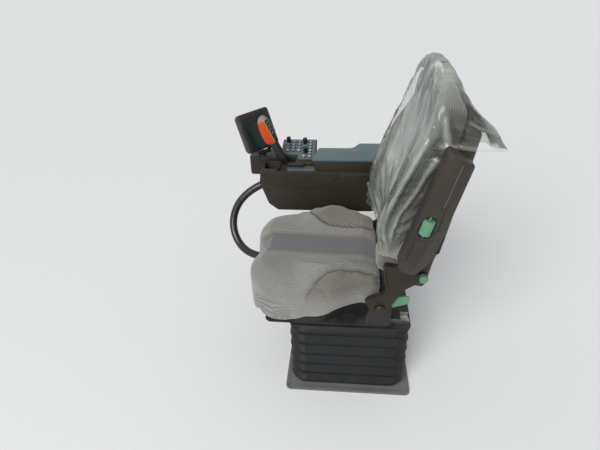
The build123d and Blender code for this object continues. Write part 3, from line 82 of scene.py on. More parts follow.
class Graph:
    """The node tree of a material or a world, built node by node."""

    def __init__(self, owner: bpy.types.Material | bpy.types.World) -> None:
        """Starts an empty tree.

        Args:
            owner: the new material or world.
        """
        self.owner = owner
        owner.use_nodes = True
        self.tree = owner.node_tree
        self.tree.nodes.clear()

    def add(self, kind: str, props: dict | None = None, **sockets: object) -> bpy.types.Node:
        """Adds a node, sets its properties, and fills or links its sockets.

        Args:
            kind: the node's type, without its common prefix.
            props: plain properties of the node.
            sockets: values or output sockets, by the input's name with _ for a space, or by i and its number.

        Returns:
            The new node.
        """
        node = self.tree.nodes.new("ShaderNode" + kind)
        for key, value in (props or {}).items():
            setattr(node, key, value)
        for key, value in sockets.items():
            number = key[0] == "i" and key[1:].isdigit()
            target = node.inputs[int(key[1:]) if number else key.replace("_", " ")]
            if isinstance(value, Socket):
                self.tree.links.new(value, target)
            else:
                target.default_value = value
        return node

    def object_point(self) -> Socket:
        """Returns the point in the piece's own space."""
        return self.add("TexCoord").outputs["Object"]

    def noise(
        self, scale: float, detail: float = 3.0, vector: Socket | None = None
    ) -> Socket:
        """Adds noise on the piece's own space.

        Args:
            scale: patches per metre.
            detail: octaves.
            vector: the point to read, if it isn't the piece's own.

        Returns:
            The noise's factor.
        """
        point = vector if vector is not None else self.object_point()
        return self.add("TexNoise", Vector=point, Scale=scale, Detail=detail).outputs["Fac"]

    def attribute(self, name: str, output: str = "Fac") -> Socket:
        """Reads one of the piece's own values.

        Args:
            name: the attribute's name.
            output: the form in which it is read.

        Returns:
            The value.
        """
        return self.add("Attribute", {"attribute_name": name}).outputs[output]

    def span(
        self, value: Socket, low: float, high: float, to_low: float = 0.0, to_high: float = 1.0
    ) -> Socket:
        """Maps a value from one range to another, held at the ends.

        Args:
            value: the socket that is mapped.
            low: where the first range starts.
            high: where the first range ends.
            to_low: what low becomes.
            to_high: what high becomes.

        Returns:
            The mapped socket.
        """
        ends = {"i1": low, "i2": high, "i3": to_low, "i4": to_high}
        return self.add("MapRange", {"clamp": True}, i0=value, **ends).outputs[0]

    def mix(self, factor: object, first: object, second: object) -> Socket:
        """Mixes two colours.

        Args:
            factor: the second colour's share.
            first: a colour or socket.
            second: a colour or socket.

        Returns:
            The mixed colour.
        """
        ends = [c if isinstance(c, Socket) else (*c, 1.0) for c in (first, second)]
        return self.add("Mix", {"data_type": "RGBA"}, i0=factor, i6=ends[0], i7=ends[1]).outputs[2]

    def maths(self, operation: str, first: object, *others: object) -> Socket:
        """Adds one sum, or the same sum with each further number in turn.

        Args:
            operation: what is done.
            first: a number or socket.
            others: more numbers or sockets.

        Returns:
            The result.
        """
        for other in others or (0.0,):
            first = self.add("Math", {"operation": operation}, i0=first, i1=other).outputs[0]
        return first

    def bump(self, height: Socket, depth: float, normal: Socket | None = None) -> Socket:
        """Adds a bump.

        Args:
            height: the height's factor.
            depth: metres between the factor's 0 and 1.
            normal: an earlier bump's normal.

        Returns:
            The bumped normal.
        """
        earlier = {} if normal is None else {"Normal": normal}
        return self.add("Bump", Height=height, Distance=depth, Strength=1.0, **earlier).outputs["Normal"]

    def finish(self, shader: bpy.types.Node, kind: str = "OutputMaterial") -> bpy.types.ID:
        """Ends the tree.

        Args:
            shader: the last shader.
            kind: the output node's type.

        Returns:
            The tree's material or world.
        """
        self.add(kind, Surface=shader.outputs[0])
        return self.owner


# Patches per metre of colour, dust and gloss
MOTTLES = 9.0
DUST_PATCHES = 23.0
GLOSS_PATCHES = 31.0


@dataclass(frozen=True)
class Finish:
    """A hard or rubbery finish: its colour, gloss, grain, mottle and dust."""

    name: str
    colour: Colour
    roughness: float = 0.5
    grain: Grain = Grain.MOULDED
    grain_size: float = 0.0011
    grain_depth: float = 0.00012
    metallic: float = 0.0
    mottle: float = 0.14
    dust: float = 0.12
    dust_colour: Colour = (0.20, 0.17, 0.13)
    specular: float = 0.26

    def material(self) -> bpy.types.Material:
        """Returns the material, made once and then shared."""
        own = "shown_" + self.name
        known = bpy.data.materials.get(own)
        if known is not None:
            return known
        graph = Graph(bpy.data.materials.new(own))
        dark, light = (tuple(min(1.0, c * (1 + s * self.mottle)) for c in self.colour) for s in (-1, 1))
        colour = graph.mix(graph.span(graph.noise(MOTTLES, 5.0), 0.35, 0.65), dark, light)
        if self.dust:
            up = graph.add("SeparateXYZ", Vector=graph.add("TexCoord").outputs["Normal"]).outputs["Z"]
            patches = graph.span(graph.noise(DUST_PATCHES, 6.0), 0.42, 0.72)
            settled = graph.maths("MULTIPLY", graph.span(up, 0.2, 1.0), patches, self.dust)
            colour = graph.mix(settled, colour, self.dust_colour)
        polish = graph.noise(GLOSS_PATCHES, 4.0)
        rough = graph.span(polish, 0.3, 0.7, self.roughness - 0.06, self.roughness + 0.07)
        skin = {"Base_Color": colour, "Roughness": rough, "Metallic": self.metallic}
        skin["Specular_IOR_Level"] = self.specular
        return graph.finish(graph.add("BsdfPrincipled", Normal=self.relief(graph), **skin))

    def relief(self, graph: Graph) -> Socket:
        """Builds the close-up relief.

        Args:
            graph: the material's tree.

        Returns:
            The bumped normal.
        """
        per_metre = 1.0 / self.grain_size
        point = graph.object_point()
        if self.grain is Grain.MOULDED:
            cells = graph.add("TexVoronoi", {"feature": "SMOOTH_F1"}, Vector=point, Scale=per_metre)
            return graph.bump(cells.outputs["Distance"], self.grain_depth)
        if self.grain is Grain.VINYL:
            cells = graph.add("TexVoronoi", {"feature": "DISTANCE_TO_EDGE"}, Vector=point, Scale=per_metre)
            creases = graph.span(cells.outputs["Distance"], 0.0, 0.12)
            return graph.bump(creases, self.grain_depth, graph.bump(graph.noise(14.0, 3.0), 0.0012))
        if self.grain is Grain.BRUSHED:
            stretch = graph.add("Mapping", Vector=point, Scale=(6.0, 0.6, 6.0)).outputs[0]
            return graph.bump(graph.noise(per_metre / 6.0, 4.0, stretch), self.grain_depth)
        if self.grain is Grain.RUBBER:
            broad = graph.bump(graph.noise(60.0, 3.0), 0.0006)
            return graph.bump(graph.noise(per_metre, 4.0), self.grain_depth, broad)
        return graph.bump(graph.noise(per_metre / 4.0, 2.0), self.grain_depth)


@dataclass(frozen=True)
class Corduroy:
    """Seat cloth: a plain dark band between two pale green stripes, ribbed cloth beside it, browner inserts.

    It reads three attributes of the piece: rib, metres across the ribs, insert, 1 on the side inserts, and
    shade, painted shade: the share by which the seams' creases and the back's hidden sides are darkened.
    """

    name: str
    band: Colour = (0.140, 0.138, 0.138)
    stripe: Colour = (0.235, 0.262, 0.190)
    cloth: Colour = (0.262, 0.256, 0.236)
    insert: Colour = (0.215, 0.200, 0.172)
    # how much darker the ribs' valleys are, as painted shade
    rib_valley_shade: float = 0.70
    insert_valley_shade: float = 0.58
    stripe_dim: float = 0.78
    band_half: float = 0.056
    stripe_width: float = 0.019
    wander: float = 0.004
    rib_pitch: float = 0.0064
    rib_depth: float = 0.0011

    def material(self) -> bpy.types.Material:
        """Returns the cloth's material."""
        graph = Graph(bpy.data.materials.new(self.name))
        point = graph.object_point()
        across = graph.maths("ABSOLUTE", graph.add("SeparateXYZ", Vector=point).outputs["X"])
        wander = graph.maths("MULTIPLY", graph.maths("SUBTRACT", graph.noise(7.0, 2.0), 0.5), self.wander)
        across = graph.maths("ADD", across, wander)
        rib = graph.attribute("rib")
        insert = graph.attribute("insert")
        phase = graph.maths("MULTIPLY", rib, 2 * math.pi / self.rib_pitch)
        wave = graph.maths("ADD", graph.maths("MULTIPLY", graph.maths("SINE", phase), 0.5), 0.5)
        stripe_end = self.band_half + self.stripe_width
        outer = graph.span(across, stripe_end, stripe_end + 0.004)
        beyond = graph.span(across, self.band_half, self.band_half + 0.003)
        weave = graph.noise(900.0, 2.0)
        fuzz = graph.noise(260.0, 4.0)
        valleys = graph.span(wave, 0.15, 0.75)
        # the valleys between the ribs are darkened: painted shade
        ribbed = graph.mix(valleys, tuple(c * self.rib_valley_shade for c in self.cloth), self.cloth)
        browned = graph.mix(valleys, tuple(c * self.insert_valley_shade for c in self.insert), self.insert)
        side = graph.mix(insert, ribbed, browned)
        from_middle = graph.maths("SUBTRACT", across, stripe_end - self.stripe_width / 2)
        middle = graph.maths("ABSOLUTE", from_middle)
        rim = graph.span(middle, self.stripe_width * 0.24, self.stripe_width * 0.34)
        stripe = graph.mix(rim, tuple(c * self.stripe_dim for c in self.stripe), self.stripe)
        cloth = graph.mix(beyond, self.band, stripe)
        cloth = graph.mix(outer, cloth, side)
        shade = graph.span(fuzz, 0.3, 0.7, 0.80, 1.12)
        speck = graph.span(weave, 0.35, 0.65, 0.86, 1.1)
        soil = graph.span(graph.noise(5.0, 5.0), 0.35, 0.75, 1.06, 0.86)
        # the shade attribute darkens the cloth as painted shade
        bright = graph.maths("SUBTRACT", 1.0, graph.attribute("shade"))
        level = graph.maths("MULTIPLY", shade, speck, soil, bright)
        cloth = graph.add("VectorMath", {"operation": "SCALE"}, i0=cloth, Scale=level).outputs[0]
        shown = graph.maths("MULTIPLY", wave, graph.maths("ADD", graph.maths("MULTIPLY", outer, 0.9), 0.1))
        threads = graph.bump(weave, 0.00035, graph.bump(shown, self.rib_depth))
        skin = {"Base_Color": cloth, "Roughness": 0.93, "Specular_IOR_Level": 0.2}
        sheen = {"Sheen_Weight": 0.35, "Sheen_Roughness": 0.5}
        normal = graph.bump(fuzz, 0.0005, threads)
        return graph.finish(graph.add("BsdfPrincipled", Normal=normal, **skin, **sheen))


@dataclass(frozen=True)
class ClearFilm:
    """Crinkled clear polythene: see-through, milky along its creases and where it is bunched, with glints.

    It reads the piece's fans (angle and distance from where creases meet) and the shares crest, gather, flank
    and aloof.
    """

    name: str
    haze: Colour = (0.46, 0.50, 0.44)
    least: float = 0.09
    most: float = 0.30
    roughness: float = 0.22
    # how much milkier it is on creases, where it stands off, near its corner, on folds and where gathered
    crease_milk: float = 0.16
    aloof_milk: float = 0.52
    corner_milk: float = 0.44
    fold_milk: float = 0.30
    gather_milk: float = 0.50
    flank_clear: float = 0.45

    def material(self) -> bpy.types.Material:
        """Returns the film's material."""
        graph = Graph(bpy.data.materials.new(self.name))
        broad = self.streaks(graph, 6.0, 3.0, 3.0)
        fine = self.streaks(graph, 15.0, 6.0, 3.0)
        middle = graph.maths("ABSOLUTE", graph.maths("SUBTRACT", fine, 0.5))
        crease = graph.span(middle, 0.0, 0.022, 1.0, 0.0)
        glance = graph.add("LayerWeight", Blend=0.4).outputs["Facing"]
        cloud = graph.maths("ADD", graph.maths("MULTIPLY", broad, 0.7), graph.maths("MULTIPLY", glance, 0.5))
        away = graph.add("SeparateXYZ", Vector=graph.attribute("front_fan", "Vector")).outputs["Y"]
        calm = graph.span(away, 0.12, 0.42, 0.12, 1.0)
        milk = graph.maths(
            "ADD",
            graph.span(cloud, 0.40, 0.85, self.least, self.most),
            graph.maths("MULTIPLY", crease, calm, self.crease_milk),
            graph.maths("MULTIPLY", graph.attribute("aloof"), self.aloof_milk),
            graph.span(calm, 0.12, 0.9, self.corner_milk, 0.0),
        )
        clear = graph.maths("MULTIPLY", graph.attribute("flank"), self.flank_clear)
        milk = graph.maths("MULTIPLY", milk, graph.maths("SUBTRACT", 1.0, clear))
        folded = graph.maths("MULTIPLY", graph.attribute("crest"), self.fold_milk)
        bunched = graph.span(fine, 0.42, 0.58, 0.0, self.gather_milk)
        milk = graph.maths("ADD", milk, folded, graph.maths("MULTIPLY", graph.attribute("gather"), bunched))
        normal = graph.bump(graph.maths("MULTIPLY", broad, calm), 0.0070)
        normal = graph.bump(graph.maths("MULTIPLY", fine, calm), 0.0015, normal)
        normal = graph.bump(graph.noise(160.0, 3.0), 0.0001, normal)
        look = {"Base_Color": (*self.haze, 1.0), "Roughness": self.roughness, "Specular_IOR_Level": 0.8}
        skin = graph.add("BsdfPrincipled", Alpha=milk, Normal=normal, **look)
        gloss = graph.add("BsdfGlossy", Roughness=0.14, Normal=normal)
        share = graph.add("Fresnel", IOR=1.42, Normal=normal).outputs[0]
        return graph.finish(graph.add("MixShader", i0=share, i1=skin.outputs[0], i2=gloss.outputs[0]))

    def streaks(self, graph: Graph, across: float, along: float, detail: float) -> Socket:
        """Adds noise drawn out along the creases, on the front's fan and the flank's.

        Args:
            graph: the material's tree.
            across: patches for each radian round the place where creases meet.
            along: patches for each metre away from it.
            detail: octaves.

        Returns:
            The noise's factor.
        """
        both = []
        for name in ("front_fan", "flank_fan"):
            fan = graph.attribute(name, "Vector")
            drawn = graph.add("Mapping", Vector=fan, Scale=(across, along, 1.0)).outputs[0]
            both.append(graph.noise(1.0, detail, drawn))
        flank = graph.attribute("flank")
        return graph.add("Mix", {"data_type": "FLOAT"}, i0=flank, i2=both[0], i3=both[1]).outputs[0]


# The armrest's brown plastic made darker: painted shade for the console, the deck and the pod's sides, which
# stand in shadow
BROWN_SHADED = Finish("brown_plastic_console", (0.026, 0.021, 0.015), 0.46, dust=0.07, mottle=0.08)
BROWN = Finish("brown_plastic_armrest", (0.037, 0.032, 0.025), 0.44, dust=0.12, mottle=0.10)
# A paler brown, the armrest's plastic made lighter: a painted highlight along the armrest's long edge
BROWN_HIGHLIGHT = Finish("brown_plastic_edge", (0.110, 0.098, 0.082), 0.44, dust=0.10, mottle=0.10)
BROWN_STEEL = Finish("brown_painted_steel", (0.025, 0.020, 0.013), 0.40, Grain.PAINT, dust=0.12, mottle=0.08)
DARK_STEEL = Finish("dark_painted_steel", (0.020, 0.020, 0.021), 0.45, Grain.PAINT, dust=0.16, mottle=0.08)
GREY_STEEL = Finish("grey_painted_steel", (0.13, 0.13, 0.125), 0.5, Grain.PAINT, dust=0.3, mottle=0.08)
ZINC = Finish("zinc_plated_steel", (0.48, 0.47, 0.44), 0.36, Grain.BRUSHED, metallic=1.0, dust=0.2)
BLACK = Finish("black_plastic", (0.014, 0.014, 0.016), 0.40, dust=0.12)
BLACK_GLOSS = Finish("black_painted_lever", (0.010, 0.012, 0.012), 0.3, Grain.PAINT, dust=0.05)
GREEN = Finish("green_plastic", (0.105, 0.255, 0.150), 0.42, dust=0.08, mottle=0.08)
GREY = Finish("blue_grey_panel", (0.082, 0.120, 0.132), 0.30, dust=0.08, mottle=0.06)
BUTTON = Finish("grey_button_plastic", (0.190, 0.225, 0.245), 0.30, dust=0.04)
# Near-black plastic for the display's keys and the lever's buttons, and as painted shade for the rings round
# the deck's buttons and for the armrest's slit
BLACK_KEYS_AND_SHADE = Finish("button_well_plastic", (0.012, 0.014, 0.016), 0.5, dust=0.0)
BUTTON_PALE = Finish("pale_button_plastic", (0.42, 0.38, 0.30), 0.45, dust=0.05)
SLATE = Finish("slate_plastic", (0.068, 0.090, 0.096), 0.36, dust=0.10, mottle=0.08)
BEIGE = Finish("beige_brown_plastic", (0.26, 0.20, 0.14), 0.45, dust=0.05, mottle=0.10)
ORANGE = Finish("orange_plastic", (0.50, 0.058, 0.006), 0.46, mottle=0.10, dust=0.02)
BELLOWS_RUBBER = Finish("bellows_rubber", (0.008, 0.009, 0.010), 0.5, Grain.RUBBER, dust=0.10)
HOSE = Finish(
    "black_hose", (0.008, 0.009, 0.009), 0.26, Grain.RUBBER, grain_depth=0.00005, dust=0.06, specular=0.5
)
# Slate vinyl for the lid's pad: its blue-grey is partly its own colour, partly a painted reflection of the pale
# sky
VINYL = Finish(
    "slate_vinyl", (0.075, 0.125, 0.135), 0.40, Grain.VINYL, 0.0042, 0.0002, dust=0.04, mottle=0.06
)
SCREEN = Finish("dark_screen", (0.006, 0.022, 0.020), 0.34, Grain.PAINT, grain_depth=0.00001, dust=0.03)


# Mesh tools

# Points nearer than this are one
DOUBLES = 2e-5


def only(obj: Piece) -> None:
    """Selects one object and makes it active.

    Args:
        obj: the object.
    """
    if bpy.context.mode != "OBJECT":
        bpy.ops.object.mode_set(mode="OBJECT")
    bpy.ops.object.select_all(action="DESELECT")
    obj.hide_set(False)
    obj.select_set(True)
    bpy.context.view_layer.objects.active = obj


@contextmanager
def editing(obj: Piece, test: Chooser | None = None) -> Iterator[None]:
    """Opens a piece in edit mode with all of it or some faces selected, and closes it again.

    Args:
        obj: the piece.
        test: says of a face's middle and normal whether it is selected.

    Yields:
        Nothing.
    """
    only(obj)
    bpy.ops.object.mode_set(mode="EDIT")
    bpy.ops.mesh.select_mode(type="FACE" if test else "VERT")
    bpy.ops.mesh.select_all(action="DESELECT" if test else "SELECT")
    if test:
        bpy.ops.object.mode_set(mode="OBJECT")
        for polygon in obj.data.polygons:
            polygon.select = bool(test(polygon.center, polygon.normal))
        bpy.ops.object.mode_set(mode="EDIT")
    yield
    bpy.ops.object.mode_set(mode="OBJECT")


def placed(name: str, data: bpy.types.ID) -> Piece:
    """Puts a mesh, curve, camera or light into the scene.

    Args:
        name: the new object's name.
        data: what it holds.

    Returns:
        The new object.
    """
    obj = bpy.data.objects.new(name, data)
    bpy.context.scene.collection.objects.link(obj)
    return obj


def apply_modifier(obj: Piece, kind: str, **settings: object) -> None:
    """Adds one modifier and applies it.

    Args:
        obj: the object.
        kind: the modifier's type.
        settings: its properties.
    """
    only(obj)
    modifier = obj.modifiers.new(kind.lower(), kind)
    for key, value in settings.items():
        setattr(modifier, key, value)
    bpy.ops.object.modifier_apply(modifier=modifier.name)


def settle(obj: Piece, angle: float = 40.0) -> Piece:
    """Moves the object's place into its mesh and shades it smooth up to an angle.

    Args:
        obj: the object.
        angle: edges sharper than this many degrees stay sharp.

    Returns:
        The same object.
    """
    only(obj)
    bpy.ops.object.transform_apply(location=True, rotation=True, scale=True)
    bpy.ops.object.shade_smooth_by_angle(angle=math.radians(angle))
    return obj


def bevel(obj: Piece, width: float, angle: float = 35.0, segments: int = 2) -> None:
    """Rounds a piece's sharp edges.

    Args:
        obj: the piece.
        width: the edges' width in metres.
        angle: edges sharper than this many degrees are rounded.
        segments: steps round an edge.
    """
    limit = math.radians(angle)
    apply_modifier(obj, "BEVEL", width=width, segments=segments, limit_method="ANGLE", angle_limit=limit)


def paint(obj: Piece, *finishes: Finish, choose: Chooser | None = None) -> None:
    """Gives a piece its finishes.

    Args:
        obj: the piece.
        finishes: its finishes.
        choose: the finish's number for a face's middle and normal; without it all faces have the first.
    """
    obj.data.materials.clear()
    for finish in finishes:
        obj.data.materials.append(finish.material())
    if choose:
        for polygon in obj.data.polygons:
            polygon.material_index = int(choose(polygon.center, polygon.normal))


def node_facts(node: str) -> tuple[str, str]:
    """Finds a node's body and material slot.

    Args:
        node: the CAD node's name.

    Returns:
        The body's name and the slot's name.
    """
    record = frame["record"]
    body = next(b for b, nodes in record["behaviour"]["bodies"].items() if node in nodes)
    slot = next(s["material_slot"] for s in record["subparts"] if s["node"] == node)
    return body, slot


def merged_copy(node: str, name: str, angle: float = 0.6) -> Piece:
    """Copies a CAD node's mesh into a piece of its own, with its points merged and its flats made whole.

    Args:
        node: the CAD node's name.
        name: the new piece's name.
        angle: faces within this many degrees of each other are joined.

    Returns:
        The new piece.
    """
    source = frame["nodes"][node]
    mesh = source.data.copy()
    mesh.transform(source.matrix_world)
    obj = placed(name, mesh)
    with editing(obj):
        bpy.ops.mesh.remove_doubles(threshold=DOUBLES)
        if angle:
            bpy.ops.mesh.dissolve_limited(angle_limit=math.radians(angle))
    return obj


def stand_in(obj: Piece, node: str) -> Piece:
    """Lets a piece take a CAD node's place on its body.

    Args:
        obj: the piece.
        node: the CAD node's name.

    Returns:
        The same piece.
    """
    body, slot = node_facts(node)
    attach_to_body(obj, body)
    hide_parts(node)
    log.info("%s stands for %s on %s", obj.name, node, body)
    return obj


def attach(obj: Piece, node: str) -> Piece:
    """Adds a piece to the body of a CAD node.

    Args:
        obj: the piece.
        node: a CAD node on that body.

    Returns:
        The same piece.
    """
    body, own = node_facts(node)
    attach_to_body(obj, body)
    log.info("%s rides on %s", obj.name, body)
    return obj


def softened(node: str, width: float, *finishes: Finish, choose: Chooser | None = None) -> None:
    """Makes a copy of a rigid CAD node with softened edges, and lets it stand for the node.

    Args:
        node: the CAD node's name.
        width: the edges' width in metres.
        finishes: its finishes.
        choose: the finish's number for a face's middle and normal.
    """
    obj = merged_copy(node, node + "_finished")
    bevel(obj, width)
    paint(settle(obj), *finishes, choose=choose)
    stand_in(obj, node)


def soft_skin(obj: Piece, material: bpy.types.Material, node: str) -> None:
    """Gives a soft piece its material, shades it smooth and lets it stand for its node.

    Args:
        obj: the piece.
        material: its material.
        node: the CAD node's name.
    """
    obj.data.materials.clear()
    obj.data.materials.append(material)
    only(obj)
    bpy.ops.object.shade_smooth()
    stand_in(obj, node)


def islands(node: str) -> list[Vector]:
    """Finds the middle of each separate solid of a CAD node.

    Args:
        node: the CAD node's name.

    Returns:
        The middles, in the row frame.
    """
    whole = merged_copy(node, node + "_middles", 0.0)
    with editing(whole):
        bpy.ops.mesh.separate(type="LOOSE")
    middles = []
    for piece in list(bpy.context.selected_objects):
        points = points_of(piece)
        middles.append(Vector((points.min(axis=0) + points.max(axis=0)) / 2))
        bpy.data.objects.remove(piece)
    return sorted(middles, key=lambda p: (round(p.x, 4), round(p.y, 4)))


def on_back(place: Sequence[float]) -> Vector:
    """Turns a place on the leaning back into a point of the row frame.

    Args:
        place: across, up the back and ahead of the pivot's plane.

    Returns:
        The point.
    """
    return PIVOT + Vector((place[0], 0.0, 0.0)) + BACK_UP * place[1] + BACK_AHEAD * place[2]


def frame_at(origin: Vector, normal: Vector, across: Vector) -> Matrix:
    """Builds the matrix of a place.

    Args:
        origin: the place.
        normal: its local Z.
        across: roughly its local X.

    Returns:
        The matrix.
    """
    z = normal.normalized()
    y = z.cross(across).normalized()
    x = y.cross(z)
    matrix = Matrix((x, y, z)).transposed().to_4x4()
    matrix.translation = origin
    return matrix


def joined(copies: Sequence[Piece], finish: Finish, name: str, angle: float = 35.0) -> Piece:
    """Joins pieces into one with one finish.

    Args:
        copies: the pieces.
        finish: the joined piece's finish.
        name: its name.
        angle: edges sharper than this many degrees stay sharp.

    Returns:
        The joined piece.
    """
    only(copies[0])
    for obj in copies[1:]:
        obj.select_set(True)
    bpy.ops.object.join()
    copies[0].name = name
    paint(copies[0], finish)
    return settle(copies[0], angle)


def repeated(model: Piece, finish: Finish, sites: Sequence[Matrix], name: str, angle: float = 35.0) -> Piece:
    """Copies a model to places, each copy with its own mesh, and joins the copies.

    Args:
        model: the model, at the origin with Z up.
        finish: the copies' finish.
        sites: where the copies go.
        name: the joined piece's name.
        angle: edges sharper than this many degrees stay sharp.

    Returns:
        The joined piece.
    """
    copies = []
    for site in sites:
        copies.append(placed(name, model.data.copy()))
        copies[-1].data.transform(site)
    bpy.data.objects.remove(model)
    return joined(copies, finish, name, angle)


def disc(radius: float, depth: float, sides: int, steps: Sequence[tuple[float, float]] = ()) -> Piece:
    """Models a round piece about the origin, with a stepped top.

    Args:
        radius: its radius.
        depth: its height.
        sides: its number of side faces.
        steps: how far each step of the top goes inwards and up.

    Returns:
        The piece.
    """
    bpy.ops.object.select_all(action="DESELECT")
    bpy.ops.mesh.primitive_cylinder_add(vertices=sides, radius=radius, depth=depth)
    obj = bpy.context.active_object
    with editing(obj, lambda middle, normal: normal.z > 0.9):
        for inwards, rise in steps:
            bpy.ops.mesh.inset(thickness=inwards)
            bpy.ops.transform.translate(value=(0, 0, rise))
    return obj


def block(size: Sequence[float], rounding: float) -> Piece:
    """Models a box about the origin with rounded edges.

    Args:
        size: its three lengths.
        rounding: its edges' width.

    Returns:
        The box.
    """
    bpy.ops.object.select_all(action="DESELECT")
    bpy.ops.mesh.primitive_cube_add(size=1.0)
    obj = bpy.context.active_object
    obj.scale = size
    bpy.ops.object.transform_apply(location=False, rotation=False, scale=True)
    bevel(obj, rounding)
    return obj


# Soft pieces


@dataclass
class Swelling:
    """Makes a plain closed solid into a stuffed form by a short cloth simulation."""

    voxel: float = 0.006
    inset: float = 0.005
    pressure: float = 4.0
    frames: int = 16
    cap: float = 0.009
    smoothing: int = 14
    quick_voxel: float = 0.010
    quick_smoothing: int = 6

    def run(self, obj: Piece) -> None:
        """Remeshes, swells and subdivides the piece.

        Args:
            obj: the piece, closed and at the origin.
        """
        apply_modifier(obj, "REMESH", mode="VOXEL", voxel_size=self.voxel)
        apply_modifier(obj, "SMOOTH", factor=0.5, iterations=self.smoothing)
        begin = points_of(obj) - normals_of(obj) * self.inset
        obj.data.vertices.foreach_set("co", begin.ravel())
        self.simulate(obj)
        moved = points_of(obj) - begin
        far = np.linalg.norm(moved, axis=1, keepdims=True)
        moved *= np.minimum(1.0, self.cap / np.maximum(far, 1e-9))
        obj.data.vertices.foreach_set("co", (begin + moved).ravel())
        apply_modifier(obj, "SUBSURF", levels=1, render_levels=1)

    def simulate(self, obj: Piece) -> None:
        """Runs the cloth and applies it.

        Args:
            obj: the remeshed piece.
        """
        only(obj)
        modifier = obj.modifiers.new("cloth", "CLOTH")
        cloth = modifier.settings
        cloth.use_pressure = True
        cloth.uniform_pressure_force = self.pressure
        cloth.effector_weights.gravity = 0.0
        cloth.quality = 4
        modifier.point_cache.frame_start = 1
        modifier.point_cache.frame_end = self.frames
        scene = bpy.context.scene
        for step in range(1, self.frames + 1):
            scene.frame_set(step)
        bpy.ops.object.modifier_apply(modifier=modifier.name)
        scene.frame_set(1)


def points_of(obj: Piece) -> np.ndarray:
    """Reads a mesh's points.

    Args:
        obj: the object.

    Returns:
        The points, one row each.
    """
    flat = np.empty(len(obj.data.vertices) * 3)
    obj.data.vertices.foreach_get("co", flat)
    return flat.reshape(-1, 3)


def normals_of(obj: Piece) -> np.ndarray:
    """Reads a mesh's point normals.

    Args:
        obj: the object.

    Returns:
        The normals, one row each.
    """
    flat = np.empty(len(obj.data.vertices) * 3)
    obj.data.vertex_normals.foreach_get("vector", flat)
    return flat.reshape(-1, 3)


def set_points(obj: Piece, points: np.ndarray) -> None:
    """Writes a mesh's points.

    Args:
        obj: the object.
        points: the points, one row each.
    """
    obj.data.vertices.foreach_set("co", points.ravel())
    obj.data.update()


def set_attribute(obj: Piece, name: str, values: np.ndarray) -> None:
    """Writes a value for each point.

    Args:
        obj: the object.
        name: the attribute's name.
        values: one number for each point.
    """
    attribute = obj.data.attributes.new(name, "FLOAT", "POINT")
    attribute.data.foreach_set("value", values.astype(np.float32))


def ramp(value: np.ndarray, start: float, width: float) -> np.ndarray:
    """Rises from 0 at a start to 1 a width further on.

    Args:
        value: the numbers.
        start: where the rise begins.
        width: how long it is.

    Returns:
        The shares.
    """
    return np.clip((value - start) / width, 0, 1)


def hump(distance: np.ndarray, width: float) -> np.ndarray:
    """Falls off from 1 on both sides of 0.

    Args:
        distance: the numbers.
        width: where it has fallen to about a third.

    Returns:
        The shares.
    """
    return np.exp(-((distance / width) ** 2))


def to_line(points: np.ndarray, line: Sequence[tuple[float, ...]]) -> np.ndarray:
    """Measures how far points are from a bent line.

    Args:
        points: the points, one row each.
        line: the line's corners.

    Returns:
        The distances.
    """
    best = np.full(len(points), 1e9)
    for a, b in zip(line, line[1:]):
        a, b = np.array(a), np.array(b)
        along = np.clip(((points - a) @ (b - a)) / ((b - a) @ (b - a)), 0, 1)[:, None]
        best = np.minimum(best, np.linalg.norm(points - a - along * (b - a), axis=1))
    return best


def smooth_line(line: Sequence[tuple[float, float]], steps: int = 8) -> list[tuple[float, float]]:
    """Rounds a bent line through its corners.

    Args:
        line: the corners.
        steps: points for each run.

    Returns:
        The points of the rounded line.
    """
    p = [np.array(q, float) for q in line]
    p = [2 * p[0] - p[1], *p, 2 * p[-1] - p[-2]]
    out = []
    for a, b, c, d in zip(p, p[1:], p[2:], p[3:]):
        for k in range(steps):
            t = k / steps
            bent = (2 * a - 5 * b + 4 * c - d) * t**2 + (3 * b - a - 3 * c + d) * t**3
            out.append(tuple(0.5 * (2 * b + (c - a) * t + bent)))
    out.append(tuple(p[-2]))
    return out


# Half the thickness of the slice that shows a form's outline
OUTLINE_BAND = 0.006


def crest_along(
    across: np.ndarray, along: np.ndarray, height: np.ndarray, step: float = 0.012, front: float = -9.0
) -> np.ndarray:
    """Finds how high a form's side rolls stand beside each point, and whether the point is outside their crest.

    Args:
        across: each point's distance from the middle line.
        along: its place along the rolls.
        height: its height.
        step: the length of the slices.
        front: the place along the rolls before which every point counts as outside.

    Returns:
        The crest's height where the point is outside it, and otherwise the point's own height.
    """
    slices = ((along - along.min()) / step).astype(int)
    crest = np.full(slices.max() + 1, height.min())
    side = across > 0
    np.maximum.at(crest, slices[side], height[side])
    place = np.zeros(len(crest))
    top = side & (height >= crest[slices] - 0.0015)
    np.maximum.at(place, slices[top], across[top])
    soften = np.ones(5) / 5
    crest = np.convolve(np.pad(crest, 2, mode="edge"), soften, "valid")
    place = np.convolve(np.pad(place, 2, mode="edge"), soften, "valid")
    middles = along.min() + (np.arange(len(crest)) + 0.5) * step
    outside = ramp(across - np.interp(along, middles, place), 0.0, 0.006)
    outside = np.maximum(outside, ramp(front - along, 0.0, 0.02))
    return height + outside * (np.interp(along, middles, crest) - height)


